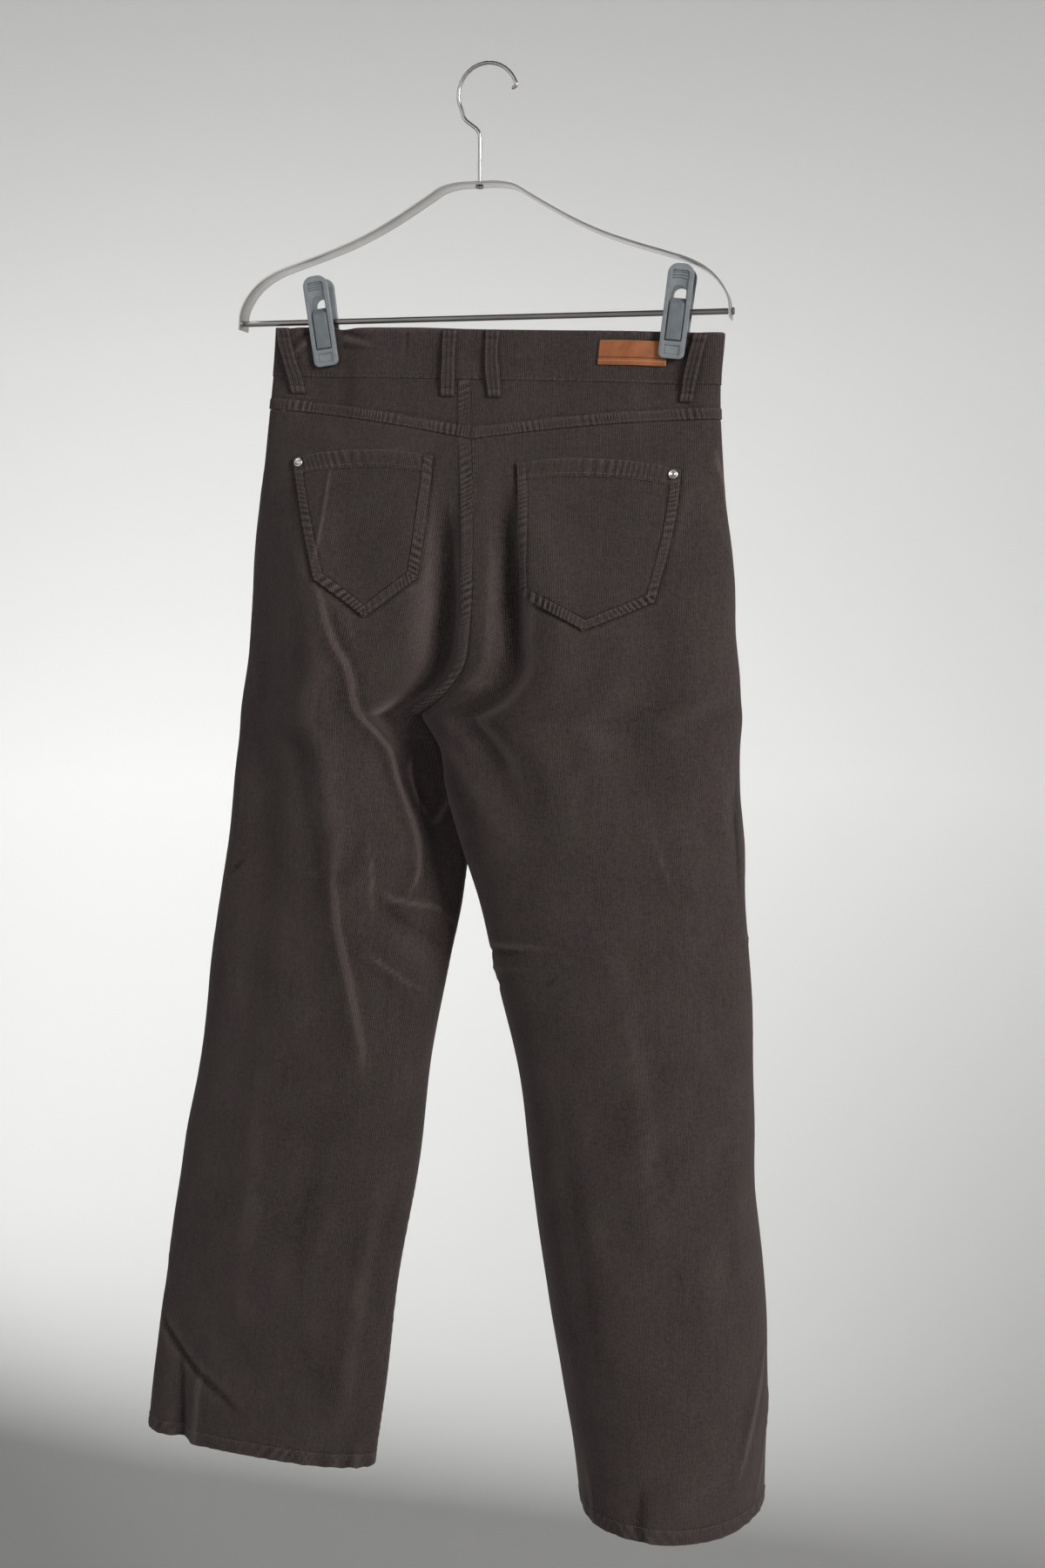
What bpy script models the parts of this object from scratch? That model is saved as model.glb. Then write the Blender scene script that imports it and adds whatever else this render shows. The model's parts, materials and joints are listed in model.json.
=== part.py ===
"""Corduroy trousers hanging from a clip hanger: a steel strap, bar and hook with two plastic clips.

Frame: +Z up, origin at the inner top of the hook, the hanger's bar along X. The back of the trousers
faces -Y. Sizes below are in millimetres, and MM turns them into Blender's metres.

The trousers are sections at each height. A section of one half runs from the back inner edge (centre back
seam, or inseam below the crotch) round the outside to the front inner edge. A place on a half is a height z
and a share t of the way round: 0 at the back inner edge, 1 at the side seam, 2 at the front inner edge.
"""
import math

import bmesh
import bpy
import numpy as np
from mathutils import Matrix, Vector

MM = 0.001
LEFT, RIGHT = -1, 1

# ---------------------------------------------------------------- cloth
CLOTH = 1.5               # wall of one layer of corduroy
BAND_OUT, BAND_IN = 0.7, 2.3   # the doubled waistband stands proud of the panels and reaches in
SEAM_GAP = 0.3            # between pieces at a seam
LAY_GAP = 0.7             # under a piece that lies on a panel
PATCH_CLOTH = 1.6         # pocket cloth
WAIST_TOP = -217.0
BAND_FOOT = -260.0
FRONT_DIP = 9.0           # the front waist is lower in its middle
YOKE_CENTRE, YOKE_SIDE, YOKE_CURVE = -311.0, -288.0, 1.6
CROTCH = -550.0
HEM = -1262.0
SIDE_SEAM_WRAP = 16.0     # side seam sits this far round to the front
SEAM_HOLD = 14.0          # folds die out within this distance of an inner seam
NORMAL_BLEND = 8.0        # outward directions of two neighbours are blended this near their seam
WAIST_SLOPE = -0.036      # the waist hangs lower on the right
SLOPE_FADE = (-300.0, -620.0)

# A half leaves its inner edge at y = middle and its outside is at y = swing. Back and front are its depths,
# and reach is how wide its outer round is. Open is 1 where back and front seams are as far apart as the
# depths and 0 where they meet, and square makes the ends rounder (2) or boxier (6).
TORSO_COLUMNS = "z left right seam back front open square reach_left reach_right swing_left swing_right"
TORSO = [
    (-217, -190, 203, -9, 6, 6, 1.00, 6.0, 172, 200, 0, 0),
    (-260, -194, 201, -12, 9, 8, 1.00, 5.0, 162, 185, 0, 0),
    (-307, -199, 203, -9, 21, 18, 1.00, 3.2, 152, 170, 0, 0),
    (-360, -206, 208, -4, 35, 30, 1.00, 2.6, 143, 157, -1, 0),
    (-420, -214, 216, -2, 45, 40, 0.98, 2.3, 133, 146, -3, 1),
    (-470, -216, 218, -4, 50, 46, 0.90, 2.1, 123, 138, -6, 4),
    (-510, -219, 222, -14, 53, 50, 0.70, 2.05, 115, 133, -8, 8),
    (-535, -223, 224, -38, 54, 53, 0.40, 2.0, 110, 131, -9, 10),
    (-550, -225, 224, -60, 54, 54, 0.00, 2.0, 107, 130, -10, 11),
]

LEG_COLUMNS = "z outer inner middle back front swing square reach"
LEGS = {
    LEFT: [
        (-575, -227, -46, 15, 54, 55, -10, 2.0, 103),
        (-610, -232, -37, 20, 52, 54, -10, 2.0, 101),
        (-660, -238, -22, 20, 48, 50, -10, 2.0, 106),
        (-710, -248, -24, 13, 44, 47, -7, 2.0, 111),
        (-780, -262, -36, 3, 41, 43, -3, 2.1, 113),
        (-860, -273, -50, -4, 38, 40, 2, 2.2, 113),
        (-960, -295, -61, -6, 34, 36, 6, 2.2, 117),
        (-1080, -316, -82, -8, 30, 31, 8, 2.2, 118),
        (-1180, -333, -93, -10, 27, 28, 11, 2.2, 120),
        (-1262, -345, -105, -10, 26, 27, 12, 2.2, 122),
    ],
    RIGHT: [
        (-575, 223, -42, -5, 55, 54, 12, 2.0, 129),
        (-610, 224, -34, -11, 54, 54, 12, 2.0, 128),
        (-660, 229, -19, -15, 53, 54, 9, 2.0, 124),
        (-710, 231, -2, -16, 53, 54, 7, 2.0, 118),
        (-780, 238, 14, -15, 55, 54, 5, 2.0, 112),
        (-860, 242, 34, -14, 59, 55, 4, 2.0, 105),
        (-960, 246, 47, -13, 65, 57, 5, 2.0, 100),
        (-1080, 258, 65, -12, 73, 60, 6, 2.0, 97),
        (-1180, 261, 83, -11, 79, 62, 7, 2.0, 89),
        (-1262, 259, 95, -10, 82, 64, 7, 2.0, 82),
    ],
}

# Each fold runs down a half: at height z its middle is at t, it is 2 x width across and height proud
FOLD_COLUMNS = "z t width height"
FOLDS = {
    LEFT: [
        # hollow beside the centre back seam, deepest behind the crotch
        [(-330, 0.12, 18, 0), (-400, 0.12, 24, -7), (-470, 0.13, 34, -17), (-520, 0.15, 46, -26),
         (-555, 0.16, 54, -28), (-600, 0.15, 52, -22), (-650, 0.13, 44, -14), (-735, 0.09, 32, -5),
         (-800, 0.06, 24, 0)],
        # ridge down the outer back
        [(-330, 0.64, 30, 0), (-410, 0.59, 34, 5), (-500, 0.51, 36, 8), (-600, 0.47, 36, 9),
         (-700, 0.44, 36, 8), (-790, 0.36, 34, 6), (-870, 0.29, 32, 3), (-960, 0.26, 30, 0)],
        # hollow outside that ridge
        [(-360, 0.84, 30, 0), (-440, 0.81, 34, -5), (-560, 0.76, 36, -8), (-700, 0.73, 36, -7),
         (-850, 0.70, 36, -4), (-980, 0.70, 34, 0)],
        # dent in the hem
        [(-1140, 0.80, 28, 0), (-1200, 0.78, 24, -5), (-1262, 0.76, 22, -8)],
        # hollow beside the centre front seam
        [(-400, 1.88, 24, 0), (-480, 1.87, 28, -9), (-555, 1.86, 34, -18), (-640, 1.88, 32, -11),
         (-740, 1.91, 28, 0)],
        # long soft fold down the front
        [(-420, 1.45, 34, 0), (-560, 1.50, 38, 7), (-720, 1.52, 38, 7), (-900, 1.55, 36, 4),
         (-1020, 1.56, 32, 0)],
    ],
    RIGHT: [
        # hollow beside the centre back seam
        [(-330, 0.11, 20, 0), (-400, 0.12, 22, -7), (-460, 0.13, 24, -10), (-520, 0.18, 28, -10),
         (-590, 0.24, 30, -6), (-660, 0.28, 28, 0)],
        # ridge outside that hollow
        [(-350, 0.22, 24, 0), (-430, 0.26, 28, 4), (-510, 0.33, 30, 5), (-580, 0.38, 32, 4),
         (-660, 0.41, 30, 0)],
        # shallow hollow down the middle of the thigh
        [(-390, 0.62, 32, 0), (-460, 0.62, 38, -5), (-600, 0.62, 42, -6), (-700, 0.62, 38, -3),
         (-780, 0.61, 34, 0)],
        # hollow beside the centre front seam
        [(-420, 1.90, 24, 0), (-500, 1.88, 28, -7), (-560, 1.88, 30, -10), (-650, 1.90, 28, 0)],
        # long soft fold down the front
        [(-430, 1.50, 34, 0), (-580, 1.52, 40, -7), (-760, 1.50, 40, -6), (-920, 1.48, 36, 0)],
    ],
}

# ---------------------------------------------------------------- hanger
HANGER_X = -7.0           # middle of the hanger
BAR_Z = -207.0
BAR_RADIUS, NECK_RADIUS, HEAD_RADIUS, HEAD_THICK = 2.5, 1.5, 3.2, 2.0
BAR_PLAY = 0.8            # between the strap's slightly leaning ends and the bar's shoulders
STRAP_WIDE, STRAP_THICK = 21.0, 1.8
# half of the strap's line: distance from the middle of the hanger, and height
STRAP_LINE = [(0, -97), (19, -97.5), (31, -100), (45, -108), (62, -118), (84, -130), (108, -141),
              (136, -151), (163, -159.5), (182, -166), (196, -174), (207, -185), (213.5, -197), (215.4, -213)]
WIRE_RADIUS = 1.6
HOOK_RADIUS = 25.5        # to the middle of the wire
HOLE_PLAY = 0.35          # round what passes through a hole

# ---------------------------------------------------------------- clips
PINCH_HALF = 2.9          # half the distance between the two waist walls where a clip holds them
PINCH_WIDE = 24.0
PINCH_FADE = (-250.0, -315.0)
CLIP_COLUMNS = "name x lean jaw_back jaw_front"
CLIPS = [
    ("clip_left", -142.6, -7.6, 4.1, 4.1),
    ("clip_right", 159.4, 6.8, 5.8, 4.1),
]
JAW_FOOT = -245.5
LEAF_LONG, LEAF_WIDE, LEAF_THICK = 77.0, 22.0, 3.6
LEAF_SPLAY = 2.6          # degrees, each leaf's top away from the other
LEAF_TOP_ROUND, LEAF_FOOT_ROUND = 8.6, 5.0
CHANNEL_WIDE, CHANNEL_DEEP = 15.6, 1.6
CHANNEL_TOP, CHANNEL_FOOT = 6.0, 62.5    # from the top of the leaf
HOLE_TOP, HOLE_FOOT, HOLE_WIDE = 17.4, 32.5, 12.6
INSET_TOP, INSET_FOOT, INSET_DEEP = 65.5, 73.0, 0.8
SPRING_WIDE, SPRING_THICK = 12.0, 1.0
SPRING_TOP, SPRING_FOOT = 30.6, 61.5

# ---------------------------------------------------------------- what is sewn on
# a: distance along the panel from its back inner edge
POCKET_COLUMNS = ("name side inner wide inner_top outer_top"
                  " inner_taper outer_taper inner_corner outer_corner tip")
POCKETS = [
    ("back_pocket_left", LEFT, 34.0, 128.0, -327.0, -332.0, 15.0, 24.0, -430.0, -434.0, -464.0),
    ("back_pocket_right", RIGHT, 39.0, 139.0, -331.0, -332.0, 3.0, 22.0, -441.0, -444.0, -470.0),
]
POCKET_TOP_BOW = 6.0      # how far the middle of the top edge stands above its corners
POCKET_TIP_SHARE = 0.50
RIVET_RADIUS, RIVET_HIGH = 4.2, 1.4

# name, side, share round the half at its top and at its foot
LOOPS = [
    ("belt_loop_1", LEFT, 0.870, 0.765),
    ("belt_loop_2", LEFT, 0.108, 0.098),
    ("belt_loop_3", RIGHT, 0.068, 0.088),
    ("belt_loop_4", RIGHT, 0.840, 0.790),
    ("belt_loop_5", LEFT, 1.42, 1.42),
    ("belt_loop_6", RIGHT, 1.42, 1.42),
]
LOOP_WIDE, LOOP_THICK = 12.5, 1.8
LOOP_TOP, LOOP_FOOT = -218.5, -275.0
# share of the loop's height from the top, and its clearance from the panel surface
LOOP_LIFT = [(0.0, 1.3), (0.10, 1.3), (0.28, 3.4), (0.68, 3.4), (0.86, 1.1), (1.0, 0.9)]

PATCH_INNER, PATCH_OUTER = 109.0, 167.0
PATCH_TOP, PATCH_FOOT, PATCH_THICK = -225.3, -245.7, 1.4

FLY_WIDE, FLY_FOOT, FLY_THICK = 38.0, -405.0, 1.5
BUTTON_RADIUS, BUTTON_HIGH, BUTTON_INSET = 8.5, 3.2, 14.0

# ---------------------------------------------------------------- grids
BACK_LINES, FRONT_LINES, YOKE_ROWS = 17, 13, 4
BAND_LINES = 25
# rows shared by the leg panels: from, to, number of steps
ROW_RUNS = [(-326, -476, 8), (-476, -526, 4), (-526, -550, 3), (-550, -586, 3), (-586, -706, 6),
            (-706, -886, 5), (-886, -1262, 8)]
FRONT_TOP_ROWS = 3

# ---------------------------------------------------------------- colours: base, metallic, roughness
CORDUROY = ("corduroy", (0.046, 0.035, 0.033), 0.0, 0.92)
LEATHER = ("leather", (0.28, 0.085, 0.028), 0.0, 0.55)
STEEL = ("steel", (0.42, 0.41, 0.40), 1.0, 0.32)
RIVET_METAL = ("rivet_metal", (0.62, 0.60, 0.58), 1.0, 0.25)
CLIP_PLASTIC = ("clip_plastic", (0.20, 0.22, 0.235), 0.0, 0.45)
SPRING_PLASTIC = ("spring_plastic", (0.15, 0.165, 0.18), 0.0, 0.50)
BUTTON_PLASTIC = ("button_plastic", (0.05, 0.04, 0.035), 0.0, 0.40)


# ================================================================ small mathematics
def cells(columns, row):
    """a table row as a dictionary of its named columns"""
    return dict(zip(columns.split(), row))


def smooth(value):
    """0 to 1 with level ends"""
    f = np.clip(value, 0.0, 1.0)
    return f * f * (3.0 - 2.0 * f)


def fade(z, span):
    """1 above the span of heights, 0 below it"""
    return 1.0 - smooth((span[0] - z) / (span[0] - span[1]))


def column(rows, names, name, z):
    """one named column of a table at heights z, along a smooth curve through its rows"""
    table = np.array(rows, float)
    at, value = -table[:, 0], table[:, names.split().index(name)]
    slope = np.gradient(value, at)
    depth = np.clip(-np.asarray(z, float), at[0], at[-1])
    i = np.clip(np.searchsorted(at, depth) - 1, 0, len(at) - 2)
    step = at[i + 1] - at[i]
    f = (depth - at[i]) / step
    ends = (1 + 2 * f) * (1 - f) ** 2 * value[i] + f * f * (3 - 2 * f) * value[i + 1]
    return ends + step * f * (1 - f) * ((1 - f) * slope[i] - f * slope[i + 1])


# ================================================================ the surface of one half
class Half:
    """the outside of one half of the trousers, without wall thickness"""

    level_step = 4.0
    angles = 721
    steps = 121

    def __init__(self, side):
        self.side = side
        self.levels = np.arange(WAIST_TOP + 16.0, HEM - 8.1, -self.level_step)
        x, y, angle = self.outlines()
        self.measure(x, y, angle)
        self.other = None

    def outlines(self):
        """each level's outline, from the inner edge round the outside and back to it"""
        value = self.sizes()
        angle = np.linspace(-math.pi / 2.0, 1.5 * math.pi, self.angles)[None, :]
        power = 2.0 / value["square"]
        sine, cosine = np.sin(angle), np.cos(angle)
        across = np.abs(sine) ** power
        width = np.abs(value["outer"] - value["inner"])
        reach = value["reach"]
        from_inner = width - reach + np.where(sine > 0, reach * across, (reach - width) * across)
        round_off = np.abs(cosine) ** power
        deep = np.where(sine > 0, round_off, value["open"] + (1.0 - value["open"]) * round_off)
        x = value["inner"] + self.side * from_inner
        y = np.where(angle < math.pi / 2.0, -value["back"], value["front"]) * deep
        y += value["middle"] + (value["swing"] - value["middle"]) * from_inner / width
        return x, self.pinched(x, y), np.repeat(angle, len(x), axis=0)

    def sizes(self):
        """the tables' values at every level: what the crotch parts changes its slope there"""
        names = "z outer inner middle back front swing square reach open"
        outer, reach, swing = ("left", "reach_left", "swing_left")
        if self.side == RIGHT:
            outer, reach, swing = ("right", "reach_right", "swing_right")
        torso = []
        for row in TORSO:
            cell = cells(TORSO_COLUMNS, row)
            torso.append((cell["z"], cell[outer], cell["seam"], 0.0, cell["back"], cell["front"], cell[swing],
                          cell["square"], cell[reach], cell["open"]))
        leg = [row + (0.0,) for row in LEGS[self.side]]
        value = {}
        for name in names.split()[1:]:
            value[name] = column(torso + leg, names, name, self.levels)
            if name in ("inner", "middle", "open"):
                below = column(torso[-1:] + leg, names, name, self.levels)
                value[name] = np.where(self.levels >= CROTCH, column(torso, names, name, self.levels), below)
            value[name] = value[name][:, None]
        return value

    def pinched(self, x, y):
        """the clips press the two waist walls together"""
        hold = np.zeros_like(x)
        for row in CLIPS:
            hold += np.exp(-(np.abs(x - cells(CLIP_COLUMNS, row)["x"]) / PINCH_WIDE) ** 4)
        hold *= fade(self.levels, PINCH_FADE)[:, None]
        held = np.sign(y) * np.minimum(np.abs(y), PINCH_HALF)
        return y + (held - y) * np.clip(hold, 0.0, 1.0)

    def measure(self, x, y, angle):
        """even steps along each level, back and front"""
        run = np.hypot(np.diff(x, axis=1), np.diff(y, axis=1))
        arc = np.concatenate([np.zeros((len(x), 1)), np.cumsum(run, axis=1)], axis=1)
        self.places = np.zeros((len(x), 2 * self.steps - 1, 2))
        self.back_long = np.zeros(len(x))
        self.front_long = np.zeros(len(x))
        for i in range(len(x)):
            seam = np.interp(math.pi / 2.0, angle[i], arc[i]) + SIDE_SEAM_WRAP
            whole = arc[i, -1]
            at = np.r_[np.linspace(0, seam, self.steps), np.linspace(seam, whole, self.steps)[1:]]
            self.places[i, :, 0] = np.interp(at, arc[i], x[i])
            self.places[i, :, 1] = np.interp(at, arc[i], y[i])
            self.back_long[i] = seam
            self.front_long[i] = whole - seam

    def long_at(self, z, front=False):
        """length of the back or front of the level at height z"""
        long = self.front_long if front else self.back_long
        return np.interp(-z, -self.levels, long)

    def along(self, z, t):
        """distance from the back inner edge"""
        back, front = self.long_at(z), self.long_at(z, front=True)
        return np.where(t <= 1.0, t * back, back + (t - 1.0) * front)

    def flat(self, z, t):
        """x and y on the unfolded outline"""
        row = np.clip((self.levels[0] - z) / self.level_step, 0, len(self.levels) - 1.001)
        i = row.astype(int)
        f = (row - i)[..., None]
        col = np.clip(t, 0.0, 2.0) * (self.steps - 1)
        j = np.minimum(col.astype(int), 2 * self.steps - 3)
        g = (col - j)[..., None]
        p = self.places
        upper = p[i, j] * (1 - g) + p[i, j + 1] * g
        lower = p[i + 1, j] * (1 - g) + p[i + 1, j + 1] * g
        return upper * (1 - f) + lower * f

    def fold_height(self, z, t):
        """how far the folds stand out at each place; nothing moves at the inner seams"""
        here = self.along(z, t)
        whole = self.long_at(z) + self.long_at(z, front=True)
        height = np.zeros_like(here)
        for rows in FOLDS[self.side]:
            middle = self.along(z, column(rows, FOLD_COLUMNS, "t", z))
            width = column(rows, FOLD_COLUMNS, "width", z)
            tall = column(rows, FOLD_COLUMNS, "height", z)
            near = np.clip(np.abs(here - middle) / width, 0.0, 1.0)
            height += tall * 0.5 * (1.0 + np.cos(math.pi * near))
        from_seam = np.minimum(here, whole - here)
        return height * smooth(from_seam / SEAM_HOLD)

    def folded(self, z, t):
        """the surface itself"""
        z, t = np.broadcast_arrays(np.asarray(z, float), np.asarray(t, float))
        step = 0.012
        ahead = self.flat(z, np.minimum(t + step, 2.0))
        behind = self.flat(z, np.maximum(t - step, 0.0))
        tangent = ahead - behind
        tangent /= np.maximum(np.linalg.norm(tangent, axis=-1, keepdims=True), 1e-9)
        outward = np.stack([tangent[..., 1], -tangent[..., 0]], -1) * self.side
        place = self.flat(z, t) + outward * self.fold_height(z, t)[..., None]
        down = z + WAIST_SLOPE * place[..., 0] * fade(z, SLOPE_FADE)
        return np.concatenate([place, down[..., None]], axis=-1)

    def own_normal(self, z, t):
        step_t, step_z = 0.008, 1.5
        across = self.folded(z, np.minimum(t + step_t, 2.0)) - self.folded(z, np.maximum(t - step_t, 0.0))
        down = self.folded(z - step_z, t) - self.folded(z + step_z, t)
        normal = np.cross(down, across) * self.side
        return normal / np.maximum(np.linalg.norm(normal, axis=-1, keepdims=True), 1e-9)

    def normal(self, z, t):
        """outward direction, shared with the neighbour along the inner seams"""
        z, t = np.broadcast_arrays(np.asarray(z, float), np.asarray(t, float))
        own = self.own_normal(z, t)
        here = self.along(z, t)
        whole = self.long_at(z) + self.long_at(z, front=True)
        at_front = here > whole / 2.0
        torso = z > CROTCH + 0.01
        edge = np.where(at_front, 2.0, 0.0)
        across = np.where(torso[..., None], self.other.own_normal(z, edge), self.own_normal(z, 2.0 - edge))
        share = 0.5 * (1.0 - smooth(np.minimum(here, whole - here) / NORMAL_BLEND))[..., None]
        mixed = own * (1.0 - share) + across * share
        return mixed / np.maximum(np.linalg.norm(mixed, axis=-1, keepdims=True), 1e-9)

    def point(self, z, t, out=0.0):
        """a point of the surface moved out, in millimetres"""
        return self.folded(z, t) + self.normal(z, t) * np.asarray(out, float)[..., None]


def make_halves():
    left, right = Half(LEFT), Half(RIGHT)
    left.other, right.other = right, left
    return {LEFT: left, RIGHT: right}


# ================================================================ Blender helpers
def clear_scene():
    for old in list(bpy.data.objects):
        bpy.data.objects.remove(old, do_unlink=True)


def new_collection(name):
    made = bpy.data.collections.new(name)
    bpy.context.scene.collection.children.link(made)
    return made


def material(look):
    name, colour, metallic, roughness = look
    if name in bpy.data.materials:
        return bpy.data.materials[name]
    made = bpy.data.materials.new(name)
    made.use_nodes = True
    shader = made.node_tree.nodes["Principled BSDF"]
    shader.inputs["Base Color"].default_value = (*colour, 1.0)
    shader.inputs["Metallic"].default_value = metallic
    shader.inputs["Roughness"].default_value = roughness
    made.diffuse_color = (*colour, 1.0)
    return made


def object_from(bm, name, look, collection, sharp=40.0):
    """a bmesh as an object with outward faces and smooth shading"""
    bmesh.ops.recalc_face_normals(bm, faces=bm.faces)
    mesh = bpy.data.meshes.new(name)
    bm.to_mesh(mesh)
    bm.free()
    made = bpy.data.objects.new(name, mesh)
    if look:
        mesh.materials.append(material(look))
    mesh.shade_smooth()
    mesh.set_sharp_from_angle(angle=math.radians(sharp))
    collection.objects.link(made)
    return made


def wall(name, outer, inner, look, collection):
    """closed cloth wall between two grids of points in millimetres"""
    rows, cols = outer.shape[:2]
    bm = bmesh.new()
    skins = [[[bm.verts.new(Vector(p) * MM) for p in row] for row in grid] for grid in (outer, inner)]
    for skin in skins:
        for i in range(rows - 1):
            for j in range(cols - 1):
                a, b, c, d = skin[i][j], skin[i][j + 1], skin[i + 1][j + 1], skin[i + 1][j]
                bm.faces.new((a, b, c))
                bm.faces.new((a, c, d))
    rim = [(0, j) for j in range(cols)]
    rim += [(i, cols - 1) for i in range(1, rows)]
    rim += [(rows - 1, j) for j in range(cols - 2, -1, -1)]
    rim += [(i, 0) for i in range(rows - 2, 0, -1)]
    for k, (i, j) in enumerate(rim):
        m, n = rim[(k + 1) % len(rim)]
        bm.faces.new((skins[0][i][j], skins[0][m][n], skins[1][m][n], skins[1][i][j]))
    return object_from(bm, name, look, collection)


def cut(target, cutter):
    """take one shape out of another, exactly"""
    step = target.modifiers.new("cut_" + cutter.name, "BOOLEAN")
    step.operation = "DIFFERENCE"
    step.solver = "EXACT"
    step.object = cutter
    cutter.hide_render = True
    cutter.display_type = "WIRE"


def turned(name, profile, steps, look, collection):
    """a profile of (radius, height), outer side top to bottom, turned about Z"""
    mesh = bpy.data.meshes.new(name)
    points = [(radius * MM, 0.0, height * MM) for radius, height in profile]
    mesh.from_pydata(points, [(i, i + 1) for i in range(len(points) - 1)], [])
    made = bpy.data.objects.new(name, mesh)
    collection.objects.link(made)
    mesh.materials.append(material(look))
    turn = made.modifiers.new("turn", "SCREW")
    turn.steps = steps
    turn.render_steps = steps
    turn.use_merge_vertices = True
    turn.merge_threshold = 0.00001
    return made


# ================================================================ panels
def yoke_line(t):
    """height of the yoke seam: a V, deepest at the centre back"""
    return YOKE_SIDE + (YOKE_CENTRE - YOKE_SIDE) * (1.0 - t) ** YOKE_CURVE


def waist_line(t):
    """height of the waist edge, lower in the middle of the front"""
    return WAIST_TOP - FRONT_DIP * smooth((t - 1.15) / 0.7)


def common_rows():
    rows = [ROW_RUNS[0][0]]
    for start, end, count in ROW_RUNS:
        rows += list(np.linspace(start, end, count + 1)[1:])
    return rows


def cloth_grid(half, heights, lines, out, thick):
    """outer and inner points of a wall at heights[i, j] and shares lines[j]"""
    z, t = np.broadcast_arrays(heights, lines[None, :])
    front = lines[0] >= 1.0
    trim = 0.5 * SEAM_GAP / half.long_at(z, front)
    low, high = (1.0, 2.0) if front else (0.0, 1.0)
    trimmed = np.clip(t, low + trim, high - trim)
    outs = np.full(z.shape, float(out))
    return half.point(z, trimmed, outs), half.point(z, trimmed, outs - thick)


def leg_heights(top_rows):
    """rows of heights for a leg panel, its first rows following the seam above"""
    rows = [np.asarray(row, float) for row in top_rows]
    rows += [np.full(len(rows[0]), z) for z in common_rows()]
    return np.stack(rows)


def make_leg_panels(halves, trousers):
    half_gap = 0.5 * SEAM_GAP
    for side, label in ((LEFT, "left"), (RIGHT, "right")):
        lines = np.linspace(0.0, 1.0, BACK_LINES)
        heights = leg_heights([yoke_line(lines) - half_gap])
        wall("back_" + label, *cloth_grid(halves[side], heights, lines, 0.0, CLOTH), CORDUROY, trousers)
        lines = np.linspace(1.0, 2.0, FRONT_LINES)
        first = BAND_FOOT - half_gap
        tops = [np.full(FRONT_LINES, z) for z in np.linspace(first, ROW_RUNS[0][0], FRONT_TOP_ROWS + 1)[:-1]]
        heights = leg_heights(tops)
        wall("front_" + label, *cloth_grid(halves[side], heights, lines, 0.0, CLOTH), CORDUROY, trousers)


def make_yokes(halves, trousers):
    half_gap = 0.5 * SEAM_GAP
    lines = np.linspace(0.0, 1.0, BACK_LINES)
    for side, label in ((LEFT, "left"), (RIGHT, "right")):
        share = np.linspace(0.0, 1.0, YOKE_ROWS + 1)[:, None]
        top = np.full(BACK_LINES, BAND_FOOT - half_gap)
        heights = top + (yoke_line(lines) + half_gap - top) * share
        wall("yoke_" + label, *cloth_grid(halves[side], heights, lines, 0.0, CLOTH), CORDUROY, trousers)


def make_waistband(halves, trousers):
    """one piece round the back, from side seam to side seam, and two in front"""
    thick = BAND_OUT + BAND_IN
    share = np.linspace(0.0, 1.0, 4)[:, None]
    foot = BAND_FOOT + 0.5 * SEAM_GAP
    skins = {}
    for side in (LEFT, RIGHT):
        lines = np.linspace(0.0, 1.0, BAND_LINES)
        trim = 0.5 * SEAM_GAP / halves[side].long_at(WAIST_TOP)
        lines[-1] -= trim
        heights = waist_line(lines) + (foot - waist_line(lines)) * share
        z, t = np.broadcast_arrays(heights, lines[None, :])
        outs = np.full(z.shape, BAND_OUT)
        skins[side] = [halves[side].point(z, t, outs - d) for d in (0.0, thick)]
        lines = np.linspace(1.0, 2.0, BAND_LINES)
        heights = waist_line(lines) + (foot - waist_line(lines)) * share
        label = "left" if side == LEFT else "right"
        grids = cloth_grid(halves[side], heights, lines, BAND_OUT, thick)
        wall("waistband_front_" + label, *grids, CORDUROY, trousers)
    joined = [np.concatenate([skins[LEFT][k][:, ::-1], skins[RIGHT][k][:, 1:]], axis=1) for k in (0, 1)]
    wall("waistband_back", *joined, CORDUROY, trousers)


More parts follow.
